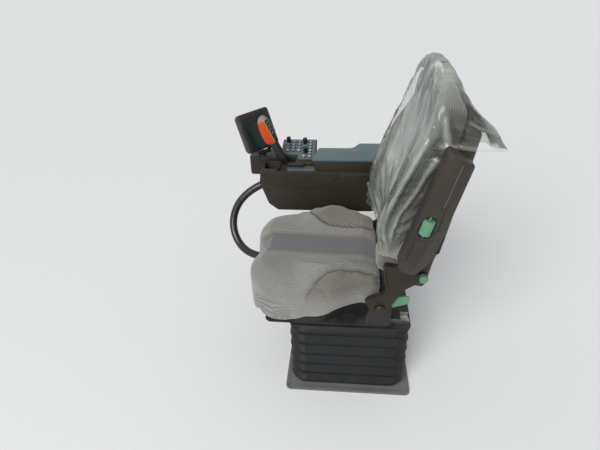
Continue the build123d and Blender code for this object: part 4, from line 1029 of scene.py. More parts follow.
def rib_distance(points: np.ndarray, height: np.ndarray, level: float, crest: np.ndarray) -> np.ndarray:
    """Gives the metres across the ribs: inwards from the outline on the face, and down the flank.

    Args:
        points: the flat points, two numbers each.
        height: each point's height.
        level: the height at which the outline is taken.
        crest: the height beside each point from which the flank falls.

    Returns:
        The metres.
    """
    middle = (points.min(axis=0) + points.max(axis=0)) / 2
    rel = points[np.abs(height - level) < OUTLINE_BAND] - middle
    angle = np.degrees(np.arctan2(rel[:, 1], rel[:, 0])).astype(int) % 360
    far = np.zeros(360)
    np.maximum.at(far, angle, np.linalg.norm(rel, axis=1))
    known = np.nonzero(far)[0]
    far = np.interp(np.arange(360), known, far[known], period=360)
    rays = np.radians(np.arange(360) + 0.5)
    ring = (middle + np.stack([np.cos(rays) * far, np.sin(rays) * far], axis=1))[::3]
    return to_line(points, [*ring, ring[0]]) + np.minimum(0.0, height - crest)


@dataclass
class SeatCushion:
    """The seat cushion: swollen cover, side inserts behind curved seams, stripes and ribs."""

    swelling: Swelling = field(default_factory=Swelling)
    top: float = 0.5488
    floor: float = 0.4018
    seam_depth: float = 0.010
    seam_width: float = 0.0055
    # the cloth's puff beside a seam, and the painted shade along its crease
    puff: float = 0.005
    puff_from: float = 0.020
    puff_width: float = 0.013
    crease_shade: float = 0.55
    crease_width: float = 0.0035
    dip_depth: float = 0.010
    lobe_height: float = 0.005
    # the flank's overhang, which hangs below the top of the pan
    skirt: float = 0.034
    skirt_top: float = 0.505
    flare: float = 0.034
    flare_top: float = 0.478
    pan_half: float = 0.222
    pan_front: float = -0.322
    front_face: float = -0.312
    # seams of the inserts, from the back forwards, seen from above
    left_seam: tuple = (
        *((0.170, 0.125), (0.184, 0.050), (0.199, -0.018), (0.211, -0.062)),
        *((0.229, -0.101), (0.243, -0.124), (0.258, -0.142), (0.290, -0.165)),
    )
    right_seam: tuple = (
        *((0.124, 0.125), (0.118, 0.045), (0.117, -0.005), (0.120, -0.045)),
        *((0.127, -0.084), (0.148, -0.124), (0.190, -0.155), (0.290, -0.195)),
    )
    # where the inserts' browner cloth fades out down the flank
    fade_low: float = 0.475
    fade_high: float = 0.530

    def build(self) -> None:
        obj = merged_copy("seat_cushion", "seat_cushion_cover", 0.0)
        self.swelling.run(obj)
        points = points_of(obj)
        normals = normals_of(obj)
        facing = np.clip(normals[:, 2] * 1.6, 0, 1)
        insert = np.zeros(len(points))
        shade = np.zeros(len(points))
        for sign, seam in ((1, self.left_seam), (-1, self.right_seam)):
            line = smooth_line(seam)
            flat = np.stack([points[:, 0] * sign, points[:, 1]], axis=1)
            near = to_line(flat, line)
            own = flat[:, 0] > 0
            groove = self.seam_depth * hump(near, self.seam_width) * facing * own
            puff = self.puff * hump(near - self.puff_from, self.puff_width) * facing * own
            # the seam's crease is darkened: painted shade
            dark = self.crease_shade * hump(near, self.crease_width) * facing * own
            shade = np.maximum(shade, dark)
            points[:, 2] += puff - groove
            ends, places = zip(*line[::-1])
            inside = ramp(flat[:, 0] - np.interp(flat[:, 1], places, ends), 0.0, 0.004)
            fade = ramp(points[:, 2], self.fade_low, self.fade_high - self.fade_low)
            insert = np.maximum(insert, inside * (flat[:, 1] > line[-1][1]) * fade)
        self.crown(points)
        self.hang(points, normals)
        set_points(obj, points)
        left = crest_along(points[:, 0], points[:, 1], points[:, 2], front=self.front_face)
        right = crest_along(-points[:, 0], points[:, 1], points[:, 2], front=self.front_face)
        crest = np.where(points[:, 0] > 0, left, right)
        set_attribute(obj, "rib", rib_distance(points[:, :2], points[:, 2], self.top - 0.07, crest))
        set_attribute(obj, "insert", insert)
        set_attribute(obj, "shade", shade)
        soft_skin(obj, Corduroy("seat_cloth").material(), "seat_cushion")

    def crown(self, points: np.ndarray) -> None:
        """Adds the shallow dip where a person sits and the crease between the front lobes.

        Args:
            points: the points, changed in place.
        """
        x, y, z = points[:, 0], points[:, 1], points[:, 2]
        dip = self.dip_depth * hump(x, 0.14) * hump(y + 0.03, 0.16)
        crown = self.lobe_height * hump(np.abs(x) - 0.13, 0.07) * hump(y + 0.27, 0.08)
        points[:, 2] += ramp(z, 0.50, 0.04) * (crown - dip)

    def hang(self, points: np.ndarray, normals: np.ndarray) -> None:
        """Lets the cushion's overhang hang down round the pan, and keeps its underside on the pan.

        Args:
            points: the points, changed in place.
            normals: their normals.
        """
        x, y, z = points[:, 0], points[:, 1], points[:, 2]
        ahead = ramp(-y, 0.06, 0.20)
        over = ramp(np.maximum(np.abs(x) - self.pan_half, self.pan_front - y), -0.012, 0.024)
        lower = np.clip((self.skirt_top - z) / (self.skirt_top - self.floor), 0, 1)
        fallen = z - self.skirt * ahead * over * lower
        points[:, 2] = np.maximum(fallen, self.floor - (self.skirt + 0.004) * over)
        corner = ramp(-y, 0.20, 0.06) * ramp(np.abs(x), 0.14, 0.05)
        low = np.clip((self.flare_top - z) / 0.05, 0, 1)
        points[:, 0] += self.flare * low * corner * normals[:, 0]


@dataclass
class BackCushion:
    """The padding of the back, with the same cloth as the seat."""

    swelling: Swelling = field(default_factory=lambda: Swelling(voxel=0.0065, cap=0.007))
    face: float = -0.009
    groove_levels: tuple = (0.26, 0.46)
    groove_depth: float = 0.005
    groove_half: float = 0.15
    bolster_lift: float = 0.006

    def build(self) -> None:
        obj = merged_copy("back_cushion", "back_cushion_cover", 0.0)
        self.swelling.run(obj)
        points = points_of(obj)
        rel = points - np.array(PIVOT)
        up = rel @ np.array(BACK_UP)
        ahead = rel @ np.array(BACK_AHEAD)
        side = np.abs(points[:, 0])
        middle = (side < self.groove_half) & (ahead > -0.03)
        groove = self.groove_depth * sum(hump(up - level, 0.006) for level in self.groove_levels) * middle
        outer = self.bolster_lift * ramp(side, 0.165, 0.05) * ramp(ahead, 0.0, 0.02)
        points += (outer - groove)[:, None] * np.array(BACK_AHEAD)
        set_points(obj, points)
        flat = np.stack([points[:, 0], up], axis=1)
        crest = crest_along(side, up, ahead)
        set_attribute(obj, "rib", rib_distance(flat, ahead, self.face - 0.03, crest))
        set_attribute(obj, "insert", ramp(side, 0.128, 0.004))
        # painted shade: the back's hidden sides are darkened
        set_attribute(obj, "shade", 0.72 * ramp(side, 0.205, 0.02))
        soft_skin(obj, Corduroy("back_cloth").material(), "back_cushion")


@dataclass(frozen=True)
class Fold:
    """One fold of the film, in millimetres: a ridge along a bent line on the back, by across, up and ahead."""

    width: float
    height: float
    line: tuple[Point, ...]

    def ridge(self, spots: np.ndarray) -> np.ndarray:
        """Gives the fold's height at each point, below 0 beside it and low at its end.

        Args:
            spots: each point's place on the back.

        Returns:
            The height in metres.
        """
        line, width = np.array(self.line) * MM, self.width * MM
        near = to_line(spots, line)
        fade = np.clip(np.linalg.norm(spots - line[-1], axis=1) / 0.05, 0.15, 1)
        return self.height * MM * (hump(near, width) - 0.35 * hump(near - 1.8 * width, width)) * fade


@dataclass
class BackFilm:
    """The clear film over the back: a taut bag whose folds run to its lower near corner, with a rear flap."""

    voxel: float = 0.0080
    hem_far: float = 0.150
    hem_near: float = 0.212
    hem_half: float = 0.235
    side_hem: tuple = ((0.050, 0.030), (0.190, 0.010), (0.217, -0.006), (0.435, -0.032), (0.592, -0.046))
    rear_hem: float = 0.590
    flap_root: Point = (0.243, 0.592, -0.120)
    flap_tip: Point = (0.250, 0.612, -0.203)
    flap_reach: float = 0.135
    corner: Point = (0.245, 0.205, 0.062)
    corner_tip: Point = (0.250, 0.205, 0.030)
    corner_reach: float = 0.130
    front_focus: tuple[float, float] = (0.330, 0.060)
    flank_focus: tuple[float, float] = (0.585, -0.235)
    gather_up: float = 0.768
    # how deep the front sags at heights up the back
    slack: tuple = ((0.13, 0.040), (0.20, 0.040), (0.45, 0.030), (0.62, 0.008), (0.72, 0.0))
    gather_lift: float = 0.0035
    edge_round: float = 0.008
    # in millimetres
    folds: tuple = (
        Fold(8, 9, (
            *((46, 767, -4), (175, 764, -4), (236, 752, -8), (244, 700, -14)),
            *((245, 650, -20), (246, 600, -28), (247, 560, -36)),
        )),
        Fold(7, 6, ((70, 721, 0), (103, 680, 0), (176, 628, 3), (240, 568, 18))),
        Fold(8, 8, (
            *((60, 760, -2), (129, 722, -2), (200, 660, 0), (238, 603, 9), (243, 539, 26)),
            *((243, 481, 41), (240, 413, 56), (236, 340, 62), (245, 240, 50)),
        )),
        Fold(9, 7, ((20, 750, 0), (60, 600, 10), (120, 450, 30), (240, 220, 50))),
        Fold(11, 6, ((-60, 740, 0), (-60, 600, 10), (0, 420, 30), (220, 210, 45))),
        Fold(12, 6, ((-130, 700, 0), (-150, 550, 15), (-120, 400, 50), (200, 200, 45))),
        Fold(10, 7, ((-190, 640, 0), (-215, 500, 35), (-190, 360, 65), (150, 195, 30))),
        Fold(7, 9, ((-235, 235, 70), (-100, 205, 45), (50, 200, 30), (200, 220, 45))),
        Fold(6, 6, ((-235, 195, 70), (-100, 180, 45), (50, 195, 30), (220, 215, 45))),
        Fold(8, 8, ((236, 758, -12), (246, 720, -45), (249, 640, -125), (250, 618, -170))),
        Fold(7, 7, ((246, 700, -40), (248, 660, -80), (250, 615, -180))),
        Fold(8, 7, ((247, 600, -20), (249, 600, -80), (250, 605, -150))),
        Fold(7, 7, ((245, 560, -20), (246, 470, 0), (246, 380, 30), (246, 250, 45))),
    )

    def build(self) -> None:
        obj = self.hull()
        apply_modifier(obj, "REMESH", mode="VOXEL", voxel_size=self.voxel)
        apply_modifier(obj, "SMOOTH", factor=0.5, iterations=8)
        self.cut(obj)
        apply_modifier(obj, "SUBSURF", levels=1, render_levels=1)
        self.shape(obj)
        soft_skin(obj, ClearFilm("clear_film").material(), "back_film")

    def hull(self) -> Piece:
        """Stretches a closed skin round the solid film, without its flap.

        Returns:
            The closed skin.
        """
        source = frame["nodes"]["back_film"]
        points = [source.matrix_world @ vertex.co for vertex in source.data.vertices]
        points = [point for point in points if (point - PIVOT).dot(BACK_AHEAD) > -0.130]
        points += [on_back((x, 0.09, w)) for x in (-0.214, 0.214) for w in (-0.126, 0.060)]
        data = bpy.data.meshes.new("back_film_skin")
        data.from_pydata([tuple(point) for point in points], [], [])
        obj = placed("back_film_skin", data)
        with editing(obj):
            bpy.ops.mesh.convex_hull()
            bpy.ops.mesh.select_all(action="SELECT")
            bpy.ops.mesh.delete_loose()
        return obj

    def outside(self, middle: Vector, _normal: Vector) -> bool:
        """Says whether a face of the closed skin lies beyond the film's hems.

        Args:
            middle: the face's middle.
            _normal: the face's normal, which isn't used.

        Returns:
            Whether the face is cut away.
        """
        rel = middle - PIVOT
        x, up, ahead = rel.x, rel.dot(BACK_UP), rel.dot(BACK_AHEAD)
        wave = 0.005 * math.sin(31.0 * x + 1.0) + 0.003 * math.sin(83.0 * x)
        share = min(1.0, max(0.0, (x + self.hem_half) / (2 * self.hem_half)))
        below = up < self.hem_far + (self.hem_near - self.hem_far) * share + wave
        behind = ahead < -0.112 and up < self.rear_hem + wave
        hem = np.interp(up, *zip(*self.side_hem))
        beside = x > 0.19 and ahead < hem and up < self.rear_hem
        right = x < -0.19 and ahead < -0.100 + 0.004 * math.sin(60 * up) and up < self.rear_hem
        return below or behind or beside or right

    def cut(self, obj: Piece) -> None:
        """Opens the skin below, behind and along the armrest, and evens its hems.

        Args:
            obj: the closed skin.
        """
        with editing(obj, self.outside):
            bpy.ops.mesh.delete(type="FACE")
            bpy.ops.mesh.select_mode(type="VERT")
            bpy.ops.mesh.select_all(action="DESELECT")
            bpy.ops.mesh.select_non_manifold()
            bpy.ops.mesh.vertices_smooth(factor=0.5, repeat=6)

    def shape(self, obj: Piece) -> None:
        """Sags the front, pulls out the flap and the lower corner, and raises the folds.

        Args:
            obj: the open film.
        """
        normals = normals_of(obj)
        points = points_of(obj)
        rel = points - np.array(PIVOT)
        across, up, ahead = points[:, 0].copy(), rel @ np.array(BACK_UP), rel @ np.array(BACK_AHEAD)
        front = np.clip(normals @ np.array(BACK_AHEAD), 0, 1)
        depth = np.interp(up, *zip(*self.slack))
        sag = depth * np.clip(1 - (across / 0.20) ** 2, 0, 1) * front
        round_off = self.edge_round * ramp(-across, 0.19, 0.055) ** 2 * front
        points -= (sag + round_off)[:, None] * np.array(BACK_AHEAD)
        for root, tip, reach in (
            (self.flap_root, self.flap_tip, self.flap_reach),
            (self.corner, self.corner_tip, self.corner_reach),
        ):
            start, end = np.array(on_back(root)), np.array(on_back(tip))
            near = np.clip(1 - np.linalg.norm(points - start, axis=1) / reach, 0, 1) ** 1.5
            points += near[:, None] * (end - start)
        spots = np.stack([across, up, ahead], axis=1)
        crest = np.zeros(len(points))
        lift = np.zeros(len(points))
        for fold in self.folds:
            ridge = fold.ridge(spots)
            lift += ridge
            crest = np.maximum(crest, np.clip(ridge / (fold.height * MM), 0, 1))
        gather = hump(up - self.gather_up, 0.030) * ramp(across, -0.05, 0.12) * ramp(ahead, -0.075, 0.04)
        flank = ramp(np.abs(normals[:, 0]), 0.45, 0.25)
        front_fan = self.fan(self.front_focus[0] - across, up - self.front_focus[1])
        flank_fan = self.fan(ahead - self.flank_focus[1], up - self.flank_focus[0])
        lift += self.crinkle(front_fan, flank_fan, flank)
        lift += gather * self.gather_lift * np.sin(across * 470 + 9 * np.sin(up * 60))
        points += lift[:, None] * normals
        set_points(obj, points)
        shares = {"crest": crest, "gather": gather, "flank": flank, "aloof": self.aloof(points)}
        for name, share in shares.items():
            set_attribute(obj, name, share)
        for name, fan in (("front_fan", front_fan), ("flank_fan", flank_fan)):
            attribute = obj.data.attributes.new(name, "FLOAT_VECTOR", "POINT")
            flat = np.concatenate([fan, np.zeros((len(fan), 1))], axis=1)
            attribute.data.foreach_set("vector", flat.astype(np.float32).ravel())

    def aloof(self, points: np.ndarray) -> np.ndarray:
        """Finds where the film stands off the padding and the shell.

        Args:
            points: the film's points.

        Returns:
            0 where it lies close, 1 where it stands clear.
        """
        under = [bpy.data.objects[name] for name in ("back_cushion_cover", "back_shell")]
        gaps = np.empty(len(points))
        for k, point in enumerate(points):
            spot = Vector(point)
            feet = [obj.matrix_world @ obj.closest_point_on_mesh(spot)[1] for obj in under]
            gaps[k] = min((foot - spot).length for foot in feet)
        return ramp(gaps, 0.014, 0.030)

    def fan(self, sideways: np.ndarray, upwards: np.ndarray) -> np.ndarray:
        """Measures points by their angle and distance from the place where creases meet.

        Args:
            sideways: how far each point is beside it.
            upwards: how far each point is above it.

        Returns:
            The angle and the distance, one row each.
        """
        return np.stack([np.arctan2(upwards, sideways), np.hypot(upwards, sideways)], axis=1)

    def crinkle(self, front_fan: np.ndarray, flank_fan: np.ndarray, flank: np.ndarray) -> np.ndarray:
        """Gives the small crinkles along the pull of the film.

        Args:
            front_fan: angle and distance from the lower corner.
            flank_fan: angle and distance from the flap's tip.
            flank: the flank's share.

        Returns:
            The lift in metres.
        """
        out = np.empty(len(flank))
        for k, share in enumerate(flank):
            total = 0.0
            for fan, part in ((front_fan[k], 1 - share), (flank_fan[k], share)):
                if part <= 0:
                    continue
                bent = noise.noise(Vector((fan[0] * 3, fan[1] * 5, 3.0))) * 0.9
                long = noise.noise(Vector((fan[0] * 13 + bent, fan[1] * 4.5, 1.0)))
                short = noise.noise(Vector((fan[0] * 34 + bent, fan[1] * 17, 7.0)))
                calm = min(1.0, max(0.25, (fan[1] - 0.08) / 0.28))
                total += part * calm * (0.0038 * (0.5 - 2.2 * abs(long)) + 0.0009 * short)
            out[k] = total
        return out


# Harness


@dataclass
class Harness:
    """The wires' thick hose, from the block under the deck round to the block at the frame."""

    radius: float = 0.017
    length: float = 0.677
    route: tuple = (
        (-421.0, -262.0, 600.0),
        (-421.0, -312.0, 600.0),
        (-418.0, -362.0, 589.0),
        (-411.0, -412.0, 570.0),
        (-402.0, -463.0, 537.0),
        (-390.0, -505.0, 494.0),
        (-370.0, -530.0, 438.0),
        (-341.0, -531.0, 386.0),
        (-307.0, -509.0, 341.0),
        (-270.0, -470.0, 318.0),
        (-240.0, -424.0, 314.0),
        (-220.0, -374.0, 318.0),
        (-208.0, -324.0, 327.0),
    )

    def build(self) -> None:
        curve = bpy.data.curves.new("harness_hose", "CURVE")
        curve.dimensions = "3D"
        spline = curve.splines.new("NURBS")
        spline.points.add(len(self.route) - 1)
        for point, place in zip(spline.points, self.route):
            point.co = (*(c * MM for c in place), 1.0)
        spline.order_u = 3
        spline.use_endpoint_u = True
        spline.resolution_u = 12
        curve.bevel_depth = self.radius
        curve.bevel_resolution = 8
        curve.use_fill_caps = True
        curve.materials.append(HOSE.material())
        obj = placed("harness_hose", curve)
        stand_in(obj, "harness")


# Rigid sub-assemblies


@dataclass
class RigidParts:
    """The rigid nodes: which get softened edges, and which keep their shape and get a finish."""

    # nodes with one finish and edge width, in the order in which they are made
    softened: tuple = (
        ("base_plate", GREY_STEEL, 0.0008),
        ("bellows", BELLOWS_RUBBER, 0.0028),
        ("suspension_plate", DARK_STEEL, 0.0008),
        ("seat_frame", DARK_STEEL, 0.0006),
        # the recliner feet take the dark steel as painted shade, for they stand in shadow below the pivot bolts
        ("recliner_foot_left recliner_foot_right", DARK_STEEL, 0.0007),
        ("back_arm_left back_arm_right", BROWN_STEEL, 0.0016),
        ("recline_lever", GREEN, 0.0012),
        ("armrest_body", BROWN, 0.0035),
        ("console_beam", DARK_STEEL, 0.0010),
        # the console's brown pieces take the darker copy of the brown plastic as painted shade
        ("console_housing", BROWN_SHADED, 0.0016),
        ("console_cover", BROWN_SHADED, 0.0004),
        ("lid_tray", BROWN_SHADED, 0.0014),
        ("control_deck", BROWN_SHADED, 0.0024),
        ("keypad_panel", GREY, 0.0010),
        ("switch_plate", SLATE, 0.0010),
        ("small_lever", BLACK, 0.0018),
        ("display_case", BROWN, 0.0024),
        ("display_bezel", BLACK, 0.0012),
        ("harness_gland_deck harness_gland_frame", BLACK, 0.0016),
    )
    plain: tuple = (
        ("fixed_rail_left fixed_rail_right", ZINC),
        ("moving_rail_left moving_rail_right seat_pan", DARK_STEEL),
        ("pivot_bolt_left pivot_bolt_right", BROWN_STEEL),
        ("back_shell", BROWN),
        ("lumbar_boss", BLACK),
        ("lumbar_knob", GREEN),
        ("armrest_bracket", BROWN_STEEL),
        ("armrest_wheel", GREEN),
        ("console_hinge", ZINC),
        ("bin_rim", BROWN),
        ("lever_plate", BLACK),
        ("lever_shaft", BLACK_GLOSS),
        ("display_bracket", DARK_STEEL),
        ("display_screen", SCREEN),
    )

    def build(self) -> None:
        """Builds the softened copies and finishes the other nodes."""
        for nodes, finish, width in self.softened:
            for node in nodes.split():
                softened(node, width, finish)
        # the pod's sides take the darker brown as painted shade, its top faces the black
        softened("display_pod", 0.0012, BROWN_SHADED, BLACK, choose=lambda middle, normal: normal.z > 0.75)
        for nodes, finish in self.plain:
            for node in nodes.split():
                paint(frame["nodes"][node], finish)
                log.info("%s keeps its shape", node)


@dataclass
class LeverHead:
    """The hydraulic lever's grip: orange round the front, beige at its end, a black side with small buttons."""

    foot: Point = (-0.366, -0.258, 0.676)
    lean: float = 25.0
    head_start: float = 0.137
    end_cap: float = 0.236
    orange_back: float = -0.003
    rim_back: float = -0.006
    button_radius: float = 0.0044
    # buttons: distance up the lever, distance ahead, and side
    buttons: tuple = (
        (0.222, -0.012, 0.012),
        (0.207, -0.014, 0.013),
        (0.192, -0.012, 0.014),
        (0.177, -0.014, 0.013),
        (0.200, -0.020, 0.002),
        (0.184, -0.019, 0.002),
    )

    def build(self) -> None:
        """Builds the grip, its colours and its buttons."""
        grip = merged_copy("lever_grip", "lever_grip_finished")
        for back in (self.orange_back, self.rim_back):
            self.slice(grip, self.place(0.0, back, 0.0), self.ahead())
        self.slice(grip, self.place(self.end_cap, 0.0, 0.0), self.up())
        bevel(grip, 0.0012)
        paint(settle(grip), BLACK, ORANGE, BEIGE, choose=self.finish_at)
        stand_in(grip, "lever_grip")
        face = merged_copy("lever_face", "lever_face_finished")
        self.slice(face, self.place(self.end_cap + 0.006, 0.0, 0.0), self.up())
        end = Vector(self.foot).dot(self.up()) + self.end_cap
        paint(settle(face, 60), ORANGE, BEIGE, choose=lambda middle, normal: middle.dot(self.up()) > end)
        stand_in(face, "lever_face")
        for name, radius, rise, finish in (
            ("lever_button_rims", self.button_radius * 1.3, 0.0016, BEIGE),
            ("lever_buttons", self.button_radius, 0.0036, BLACK_KEYS_AND_SHADE),
        ):
            sites = []
            for button in self.buttons:
                place, normal = grip.closest_point_on_mesh(self.place(*button))[1:3]
                sites.append(frame_at(place, normal, self.up()))
            model = disc(radius, 2 * rise, 20, ((radius * 0.25, rise * 0.3),))
            attach(repeated(model, finish, sites, name), "lever_grip")

    def up(self) -> Vector:
        """Returns the lever's direction."""
        lean = math.radians(self.lean)
        return Vector((0.0, -math.sin(lean), math.cos(lean)))

    def ahead(self) -> Vector:
        """Returns the direction ahead of the lever."""
        lean = math.radians(self.lean)
        return Vector((0.0, -math.cos(lean), -math.sin(lean)))

    def place(self, along: float, ahead: float, side: float) -> Vector:
        """Turns a place on the lever into a point.

        Args:
            along: distance up the lever.
            ahead: distance ahead of its line.
            side: distance towards the operator.

        Returns:
            The point.
        """
        return Vector(self.foot) + self.up() * along + self.ahead() * ahead + Vector((side, 0.0, 0.0))

    def slice(self, obj: Piece, point: Vector, normal: Vector) -> None:
        """Adds edges where a plane meets the piece.

        Args:
            obj: the piece.
            point: a point of the plane.
            normal: the plane's normal.
        """
        with editing(obj):
            bpy.ops.mesh.bisect(plane_co=point, plane_no=normal)

    def finish_at(self, middle: Vector, _normal: Vector) -> int:
        """Numbers a grip face's finish: black, orange ahead, or beige on the rim and the end.

        Args:
            middle: the face's middle.
            _normal: the face's normal, which isn't used.

        Returns:
            0, 1 or 2.
        """
        rel = middle - Vector(self.foot)
        along, ahead = rel.dot(self.up()), rel.dot(self.ahead())
        rim = along > self.head_start and self.rim_back < ahead < self.orange_back
        if rim or along > self.end_cap:
            return 2
        return int(along > self.head_start and ahead > self.orange_back)


@dataclass(frozen=True)
class Bars:
    """Thin bars along a bent line on the armrest's outer side, given by along and across."""

    name: str
    finish: Finish
    width: float
    rise: float
    line: tuple[tuple[float, float], ...]


@dataclass
class ArmrestRelief:
    """The ribs round the armrest's wheel, a pale bar along its long edge as a painted highlight, and a dark bar
    as the painted shade in its slit.
    """

    pivot: Point = (0.322, 0.187, 0.735)
    lean: float = 14.0
    rows: tuple = (
        Bars("armrest_ribs", BROWN, 0.0046, 0.0028, (
            *((0.150, 0.036), (0.153, -0.005), (0.156, -0.016), (0.084, -0.023)),
            *((0.062, -0.007), (0.050, 0.010), (0.049, 0.030)),
        )),
        # a pale bar painted as the highlight along the armrest's long edge
        Bars("armrest_edge", BROWN_HIGHLIGHT, 0.0030, 0.0012, ((0.284, -0.0063), (0.160, -0.0063))),
        # a dark bar on the side, painted as the shade inside the slit
        Bars("armrest_slit", BLACK_KEYS_AND_SHADE, 0.0036, 0.0006, ((-0.030, 0.034), (0.036, 0.031))),
    )

    def build(self) -> None:
        """Builds the ribs, the painted edge highlight and the painted slit shade."""
        for row in self.rows:
            copies = [self.bar(row, *ends) for ends in zip(row.line, row.line[1:])]
            attach(joined(copies, row.finish, row.name), "armrest_body")

    def spot(self, place: tuple[float, float]) -> tuple[Vector, Vector]:
        """Finds a place on the armrest's outer side.

        Args:
            place: distance along the armrest from its pivot, and across towards the front.

        Returns:
            The point and the side's normal there.
        """
        lean = math.radians(self.lean)
        along = Vector((0.0, math.sin(lean), math.cos(lean)))
        across = Vector((0.0, -math.cos(lean), math.sin(lean)))
        start = Vector(self.pivot) + along * place[0] + across * place[1] + Vector((0.05, 0.0, 0.0))
        body = bpy.data.objects["armrest_body_finished"]
        return body.ray_cast(start, Vector((-1.0, 0.0, 0.0)))[1:3]

    def bar(self, row: Bars, near: tuple[float, float], far: tuple[float, float]) -> Piece:
        """Models one bar.

        Args:
            row: the bars' sizes.
            near: where it starts.
            far: where it ends.

        Returns:
            The bar.
        """
        (start, first), (end, last) = self.spot(near), self.spot(far)
        obj = block(((end - start).length + row.width * 0.6, row.width, row.rise * 2), row.rise * 0.45)
        obj.matrix_world = frame_at((start + end) / 2, (first + last).normalized(), end - start)
        return obj


@dataclass
class DisplayKeys:
    """A row of dark keys above the display's screen."""

    centre: Point = (-0.420, -0.390, 0.829)
    yaw: float = 52.0
    tilt: float = 24.0
    front: float = 0.005
    key_up: float = 0.057
    key_size: tuple[float, float, float] = (0.017, 0.011, 0.0044)
    spots: tuple = (-0.044, -0.018, 0.008, 0.034)

    def build(self) -> None:
        """Builds the keys."""
        yaw, tilt = math.radians(self.yaw), math.radians(self.tilt)
        across = Vector((-math.sin(yaw), math.cos(yaw), 0.0))
        normal = Vector((math.cos(yaw) * math.cos(tilt), math.sin(yaw) * math.cos(tilt), math.sin(tilt)))
        upward = normal.cross(across)
        sites = []
        for spot in self.spots:
            centre = Vector(self.centre) + across * spot + upward * self.key_up + normal * self.front
            sites.append(frame_at(centre, normal, across))
        keys = repeated(block(self.key_size, 0.0014), BLACK_KEYS_AND_SHADE, sites, "display_keys", 30)
        attach(keys, "display_bezel")


@dataclass
class LidPad:
    """The soft vinyl pad of the lid."""

    def build(self) -> None:
        obj = merged_copy("lid_pad", "lid_pad_cover", 0.6)
        bevel(obj, 0.0015, 30, 3)
        # the pad's blue-grey colour is partly a painted sky reflection
        paint(settle(obj, 50), VINYL)
        stand_in(obj, "lid_pad")


@dataclass
class Keypad:
    """The deck's round buttons, with dark rings round them as painted shadow, and its turning knobs."""

    button_radius: float = 0.007
    button_rise: float = 0.005
    # the dark ring round each button, painted as its shadow: how far it reaches beyond the button and how thick
    # it is
    shadow_margin: float = 0.0024
    shadow_depth: float = 0.0014
    knob_radius: float = 0.009
    knob_height: float = 0.024
    pale_up: float = 0.052

    def build(self) -> None:
        """Builds the buttons and the knobs."""
        places = islands("keypad_buttons")
        near = max(place.x for place in places)
        pale = [place for k, place in enumerate(places) if place.x > near - self.pale_up and k % 3 != 1]
        dark = [place for place in places if place not in pale]
        dished = (self.button_radius, self.button_rise, 24, ((0.0009, 0.0006), (0.0016, -0.0005)))
        shadow_ring = (self.button_radius + self.shadow_margin, self.shadow_depth, 24)
        sunk = self.shadow_depth / 2 - 0.0002 - self.button_rise / 2
        for name, spots, finish, size, rise in (
            ("dark_buttons", dark, BUTTON, dished, 0.0),
            ("pale_buttons", pale, BUTTON_PALE, dished, 0.0),
            # dark discs under the buttons' edges, painted as the shadows round them
            ("button_wells", dark + pale, BLACK_KEYS_AND_SHADE, shadow_ring, sunk),
        ):
            attach(repeated(disc(*size), finish, self.sites(spots, rise), name), "keypad_buttons")
        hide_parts("keypad_buttons")
        knob = disc(self.knob_radius * 0.94, self.knob_height, 36, ((0.0014, 0.0010),))
        with editing(knob, lambda middle, normal: abs(normal.z) < 0.1 and self.step_of(middle) % 2 == 0):
            grip = {"value": self.knob_radius * 0.06}
            bpy.ops.mesh.extrude_region_shrink_fatten(TRANSFORM_OT_shrink_fatten=grip)
        sites = self.sites(islands("turning_knobs"))
        stand_in(repeated(knob, BLACK, sites, "turning_knobs_ribbed", 30), "turning_knobs")

    def sites(self, spots: Sequence[Vector], rise: float = 0.0) -> list[Matrix]:
        """Turns places on the deck into matrices.

        Args:
            spots: the places.
            rise: how far above them the pieces stand.

        Returns:
            The matrices.
        """
        return [frame_at(spot + DECK_NORMAL * rise, DECK_NORMAL, Vector((0, 1, 0))) for spot in spots]

    def step_of(self, middle: Vector) -> int:
        """Numbers a knob's side face round its axis.

        Args:
            middle: the face's middle.

        Returns:
            The number, in steps of ten degrees.
        """
        return round(math.degrees(math.atan2(middle.y, middle.x)) / 10 - 0.5)


# Camera and studio


@dataclass
class PhotoCamera:
    """The photograph's camera, found from the seat's and console's known sizes."""

    place: Point = (1.3767, -0.0328, 1.4956)
    yaw: float = -6.3062
    pitch: float = 32.1013
    roll: float = -2.0267
    focal_pixels: float = 453.1462
    image_width: float = 600.0
    sensor: float = 36.0

    def build(self) -> None:
        """Creates the camera and makes it the scene's."""
        yaw, pitch, roll = (math.radians(a) for a in (self.yaw, self.pitch, self.roll))
        ahead = Vector((-math.cos(yaw) * math.cos(pitch), math.sin(yaw) * math.cos(pitch), -math.sin(pitch)))
        right = ahead.cross(Vector((0, 0, 1))).normalized()
        up = right.cross(ahead)
        turned_right = math.cos(roll) * right + math.sin(roll) * up
        turned_up = -math.sin(roll) * right + math.cos(roll) * up
        data = bpy.data.cameras.new("photo_camera")
        data.sensor_width = self.sensor
        data.lens = self.focal_pixels / self.image_width * self.sensor
        data.clip_start = 0.02
        obj = placed("photo_camera", data)
        matrix = Matrix((turned_right, turned_up, -ahead)).transposed().to_4x4()
        matrix.translation = Vector(self.place)
        obj.matrix_world = matrix
        bpy.context.scene.camera = obj


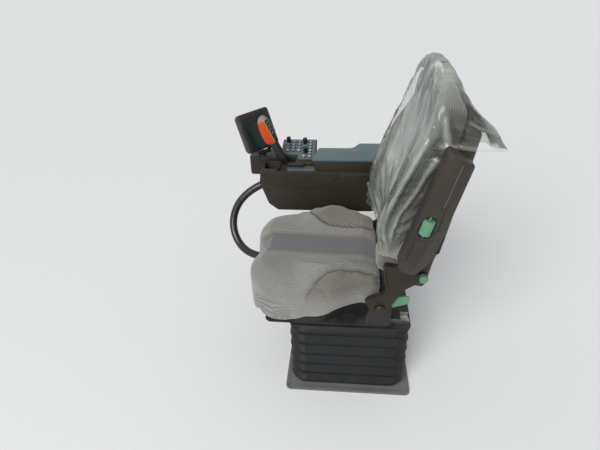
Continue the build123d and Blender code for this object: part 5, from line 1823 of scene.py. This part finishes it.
@dataclass
class Studio:
    """A pale floor, a pale world and soft lamps."""

    floor_size: float = 160.0
    floor_colour: Colour = (0.80, 0.80, 0.79)
    world_level: float = 0.46
    backdrop: Colour = (0.80, 0.81, 0.82)
    sun_from: Point = (1.70, -0.75, 1.5)
    sun_level: float = 2.35
    sun_spread: float = 38.0
    fill_from: Point = (2.6, -1.4, 1.7)
    fill_aim: Point = (0.0, 0.0, 0.5)
    fill_size: float = 2.2
    fill_level: float = 14.0

    def build(self) -> None:
        """Builds the floor, the world and the lamps."""
        bpy.ops.object.select_all(action="DESELECT")
        bpy.ops.mesh.primitive_plane_add(size=self.floor_size)
        floor = bpy.context.active_object
        floor.name = "studio_floor"
        graph = Graph(bpy.data.materials.new("studio_floor"))
        shader = graph.add("BsdfPrincipled", Roughness=0.9, Base_Color=(*self.floor_colour, 1.0))
        floor.data.materials.append(graph.finish(shader))
        self.light_world()
        spread = math.radians(self.sun_spread)
        fill = {"energy": self.fill_level, "size": self.fill_size}
        self.lamp("soft_sun", "SUN", self.sun_from, (0.0, 0.0, 0.0), energy=self.sun_level, angle=spread)
        self.lamp("fill_lamp", "AREA", self.fill_from, self.fill_aim, **fill)
        bpy.context.scene.view_settings.view_transform = "Standard"

    def lamp(self, name: str, kind: str, place: Point, aim: Point, **settings: float) -> None:
        """Adds a lamp.

        Args:
            name: its name.
            kind: its type.
            place: where it stands.
            aim: what it points at.
            settings: its properties.
        """
        data = bpy.data.lights.new(name, kind)
        for key, value in settings.items():
            setattr(data, key, value)
        obj = placed(name, data)
        obj.location = place
        obj.rotation_euler = (Vector(aim) - Vector(place)).to_track_quat("-Z", "Y").to_euler()

    def light_world(self) -> None:
        """Lights the world evenly and shows a pale backdrop to the camera and in reflections."""
        graph = Graph(bpy.data.worlds.new("studio_world"))
        rays = graph.add("LightPath").outputs
        kinds = [rays[f"Is {kind} Ray"] for kind in ("Camera", "Glossy", "Transmission")]
        light = graph.add("Background", Color=(0.93, 0.96, 1.0, 1.0), Strength=self.world_level)
        shown = graph.add("Background", Color=(*self.backdrop, 1.0))
        seen = graph.maths("MAXIMUM", *kinds)
        both = graph.add("MixShader", i0=seen, i1=light.outputs[0], i2=shown.outputs[0])
        bpy.context.scene.world = graph.finish(both, "OutputWorld")


def main() -> None:
    """Builds the camera, the cord, the soft pieces, the rigid pieces and the studio."""
    logging.basicConfig(level=logging.INFO, format="%(name)s: %(message)s")
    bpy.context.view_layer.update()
    parts = (
        PhotoCamera(),
        Harness(),
        SeatCushion(),
        BackCushion(),
        BackFilm(),
        LidPad(),
        RigidParts(),
        LeverHead(),
        ArmrestRelief(),
        DisplayKeys(),
        Keypad(),
        Studio(),
    )
    for part in parts:
        part.build()
        log.info("%s done", type(part).__name__)


if __name__ == "__main__":
    main()
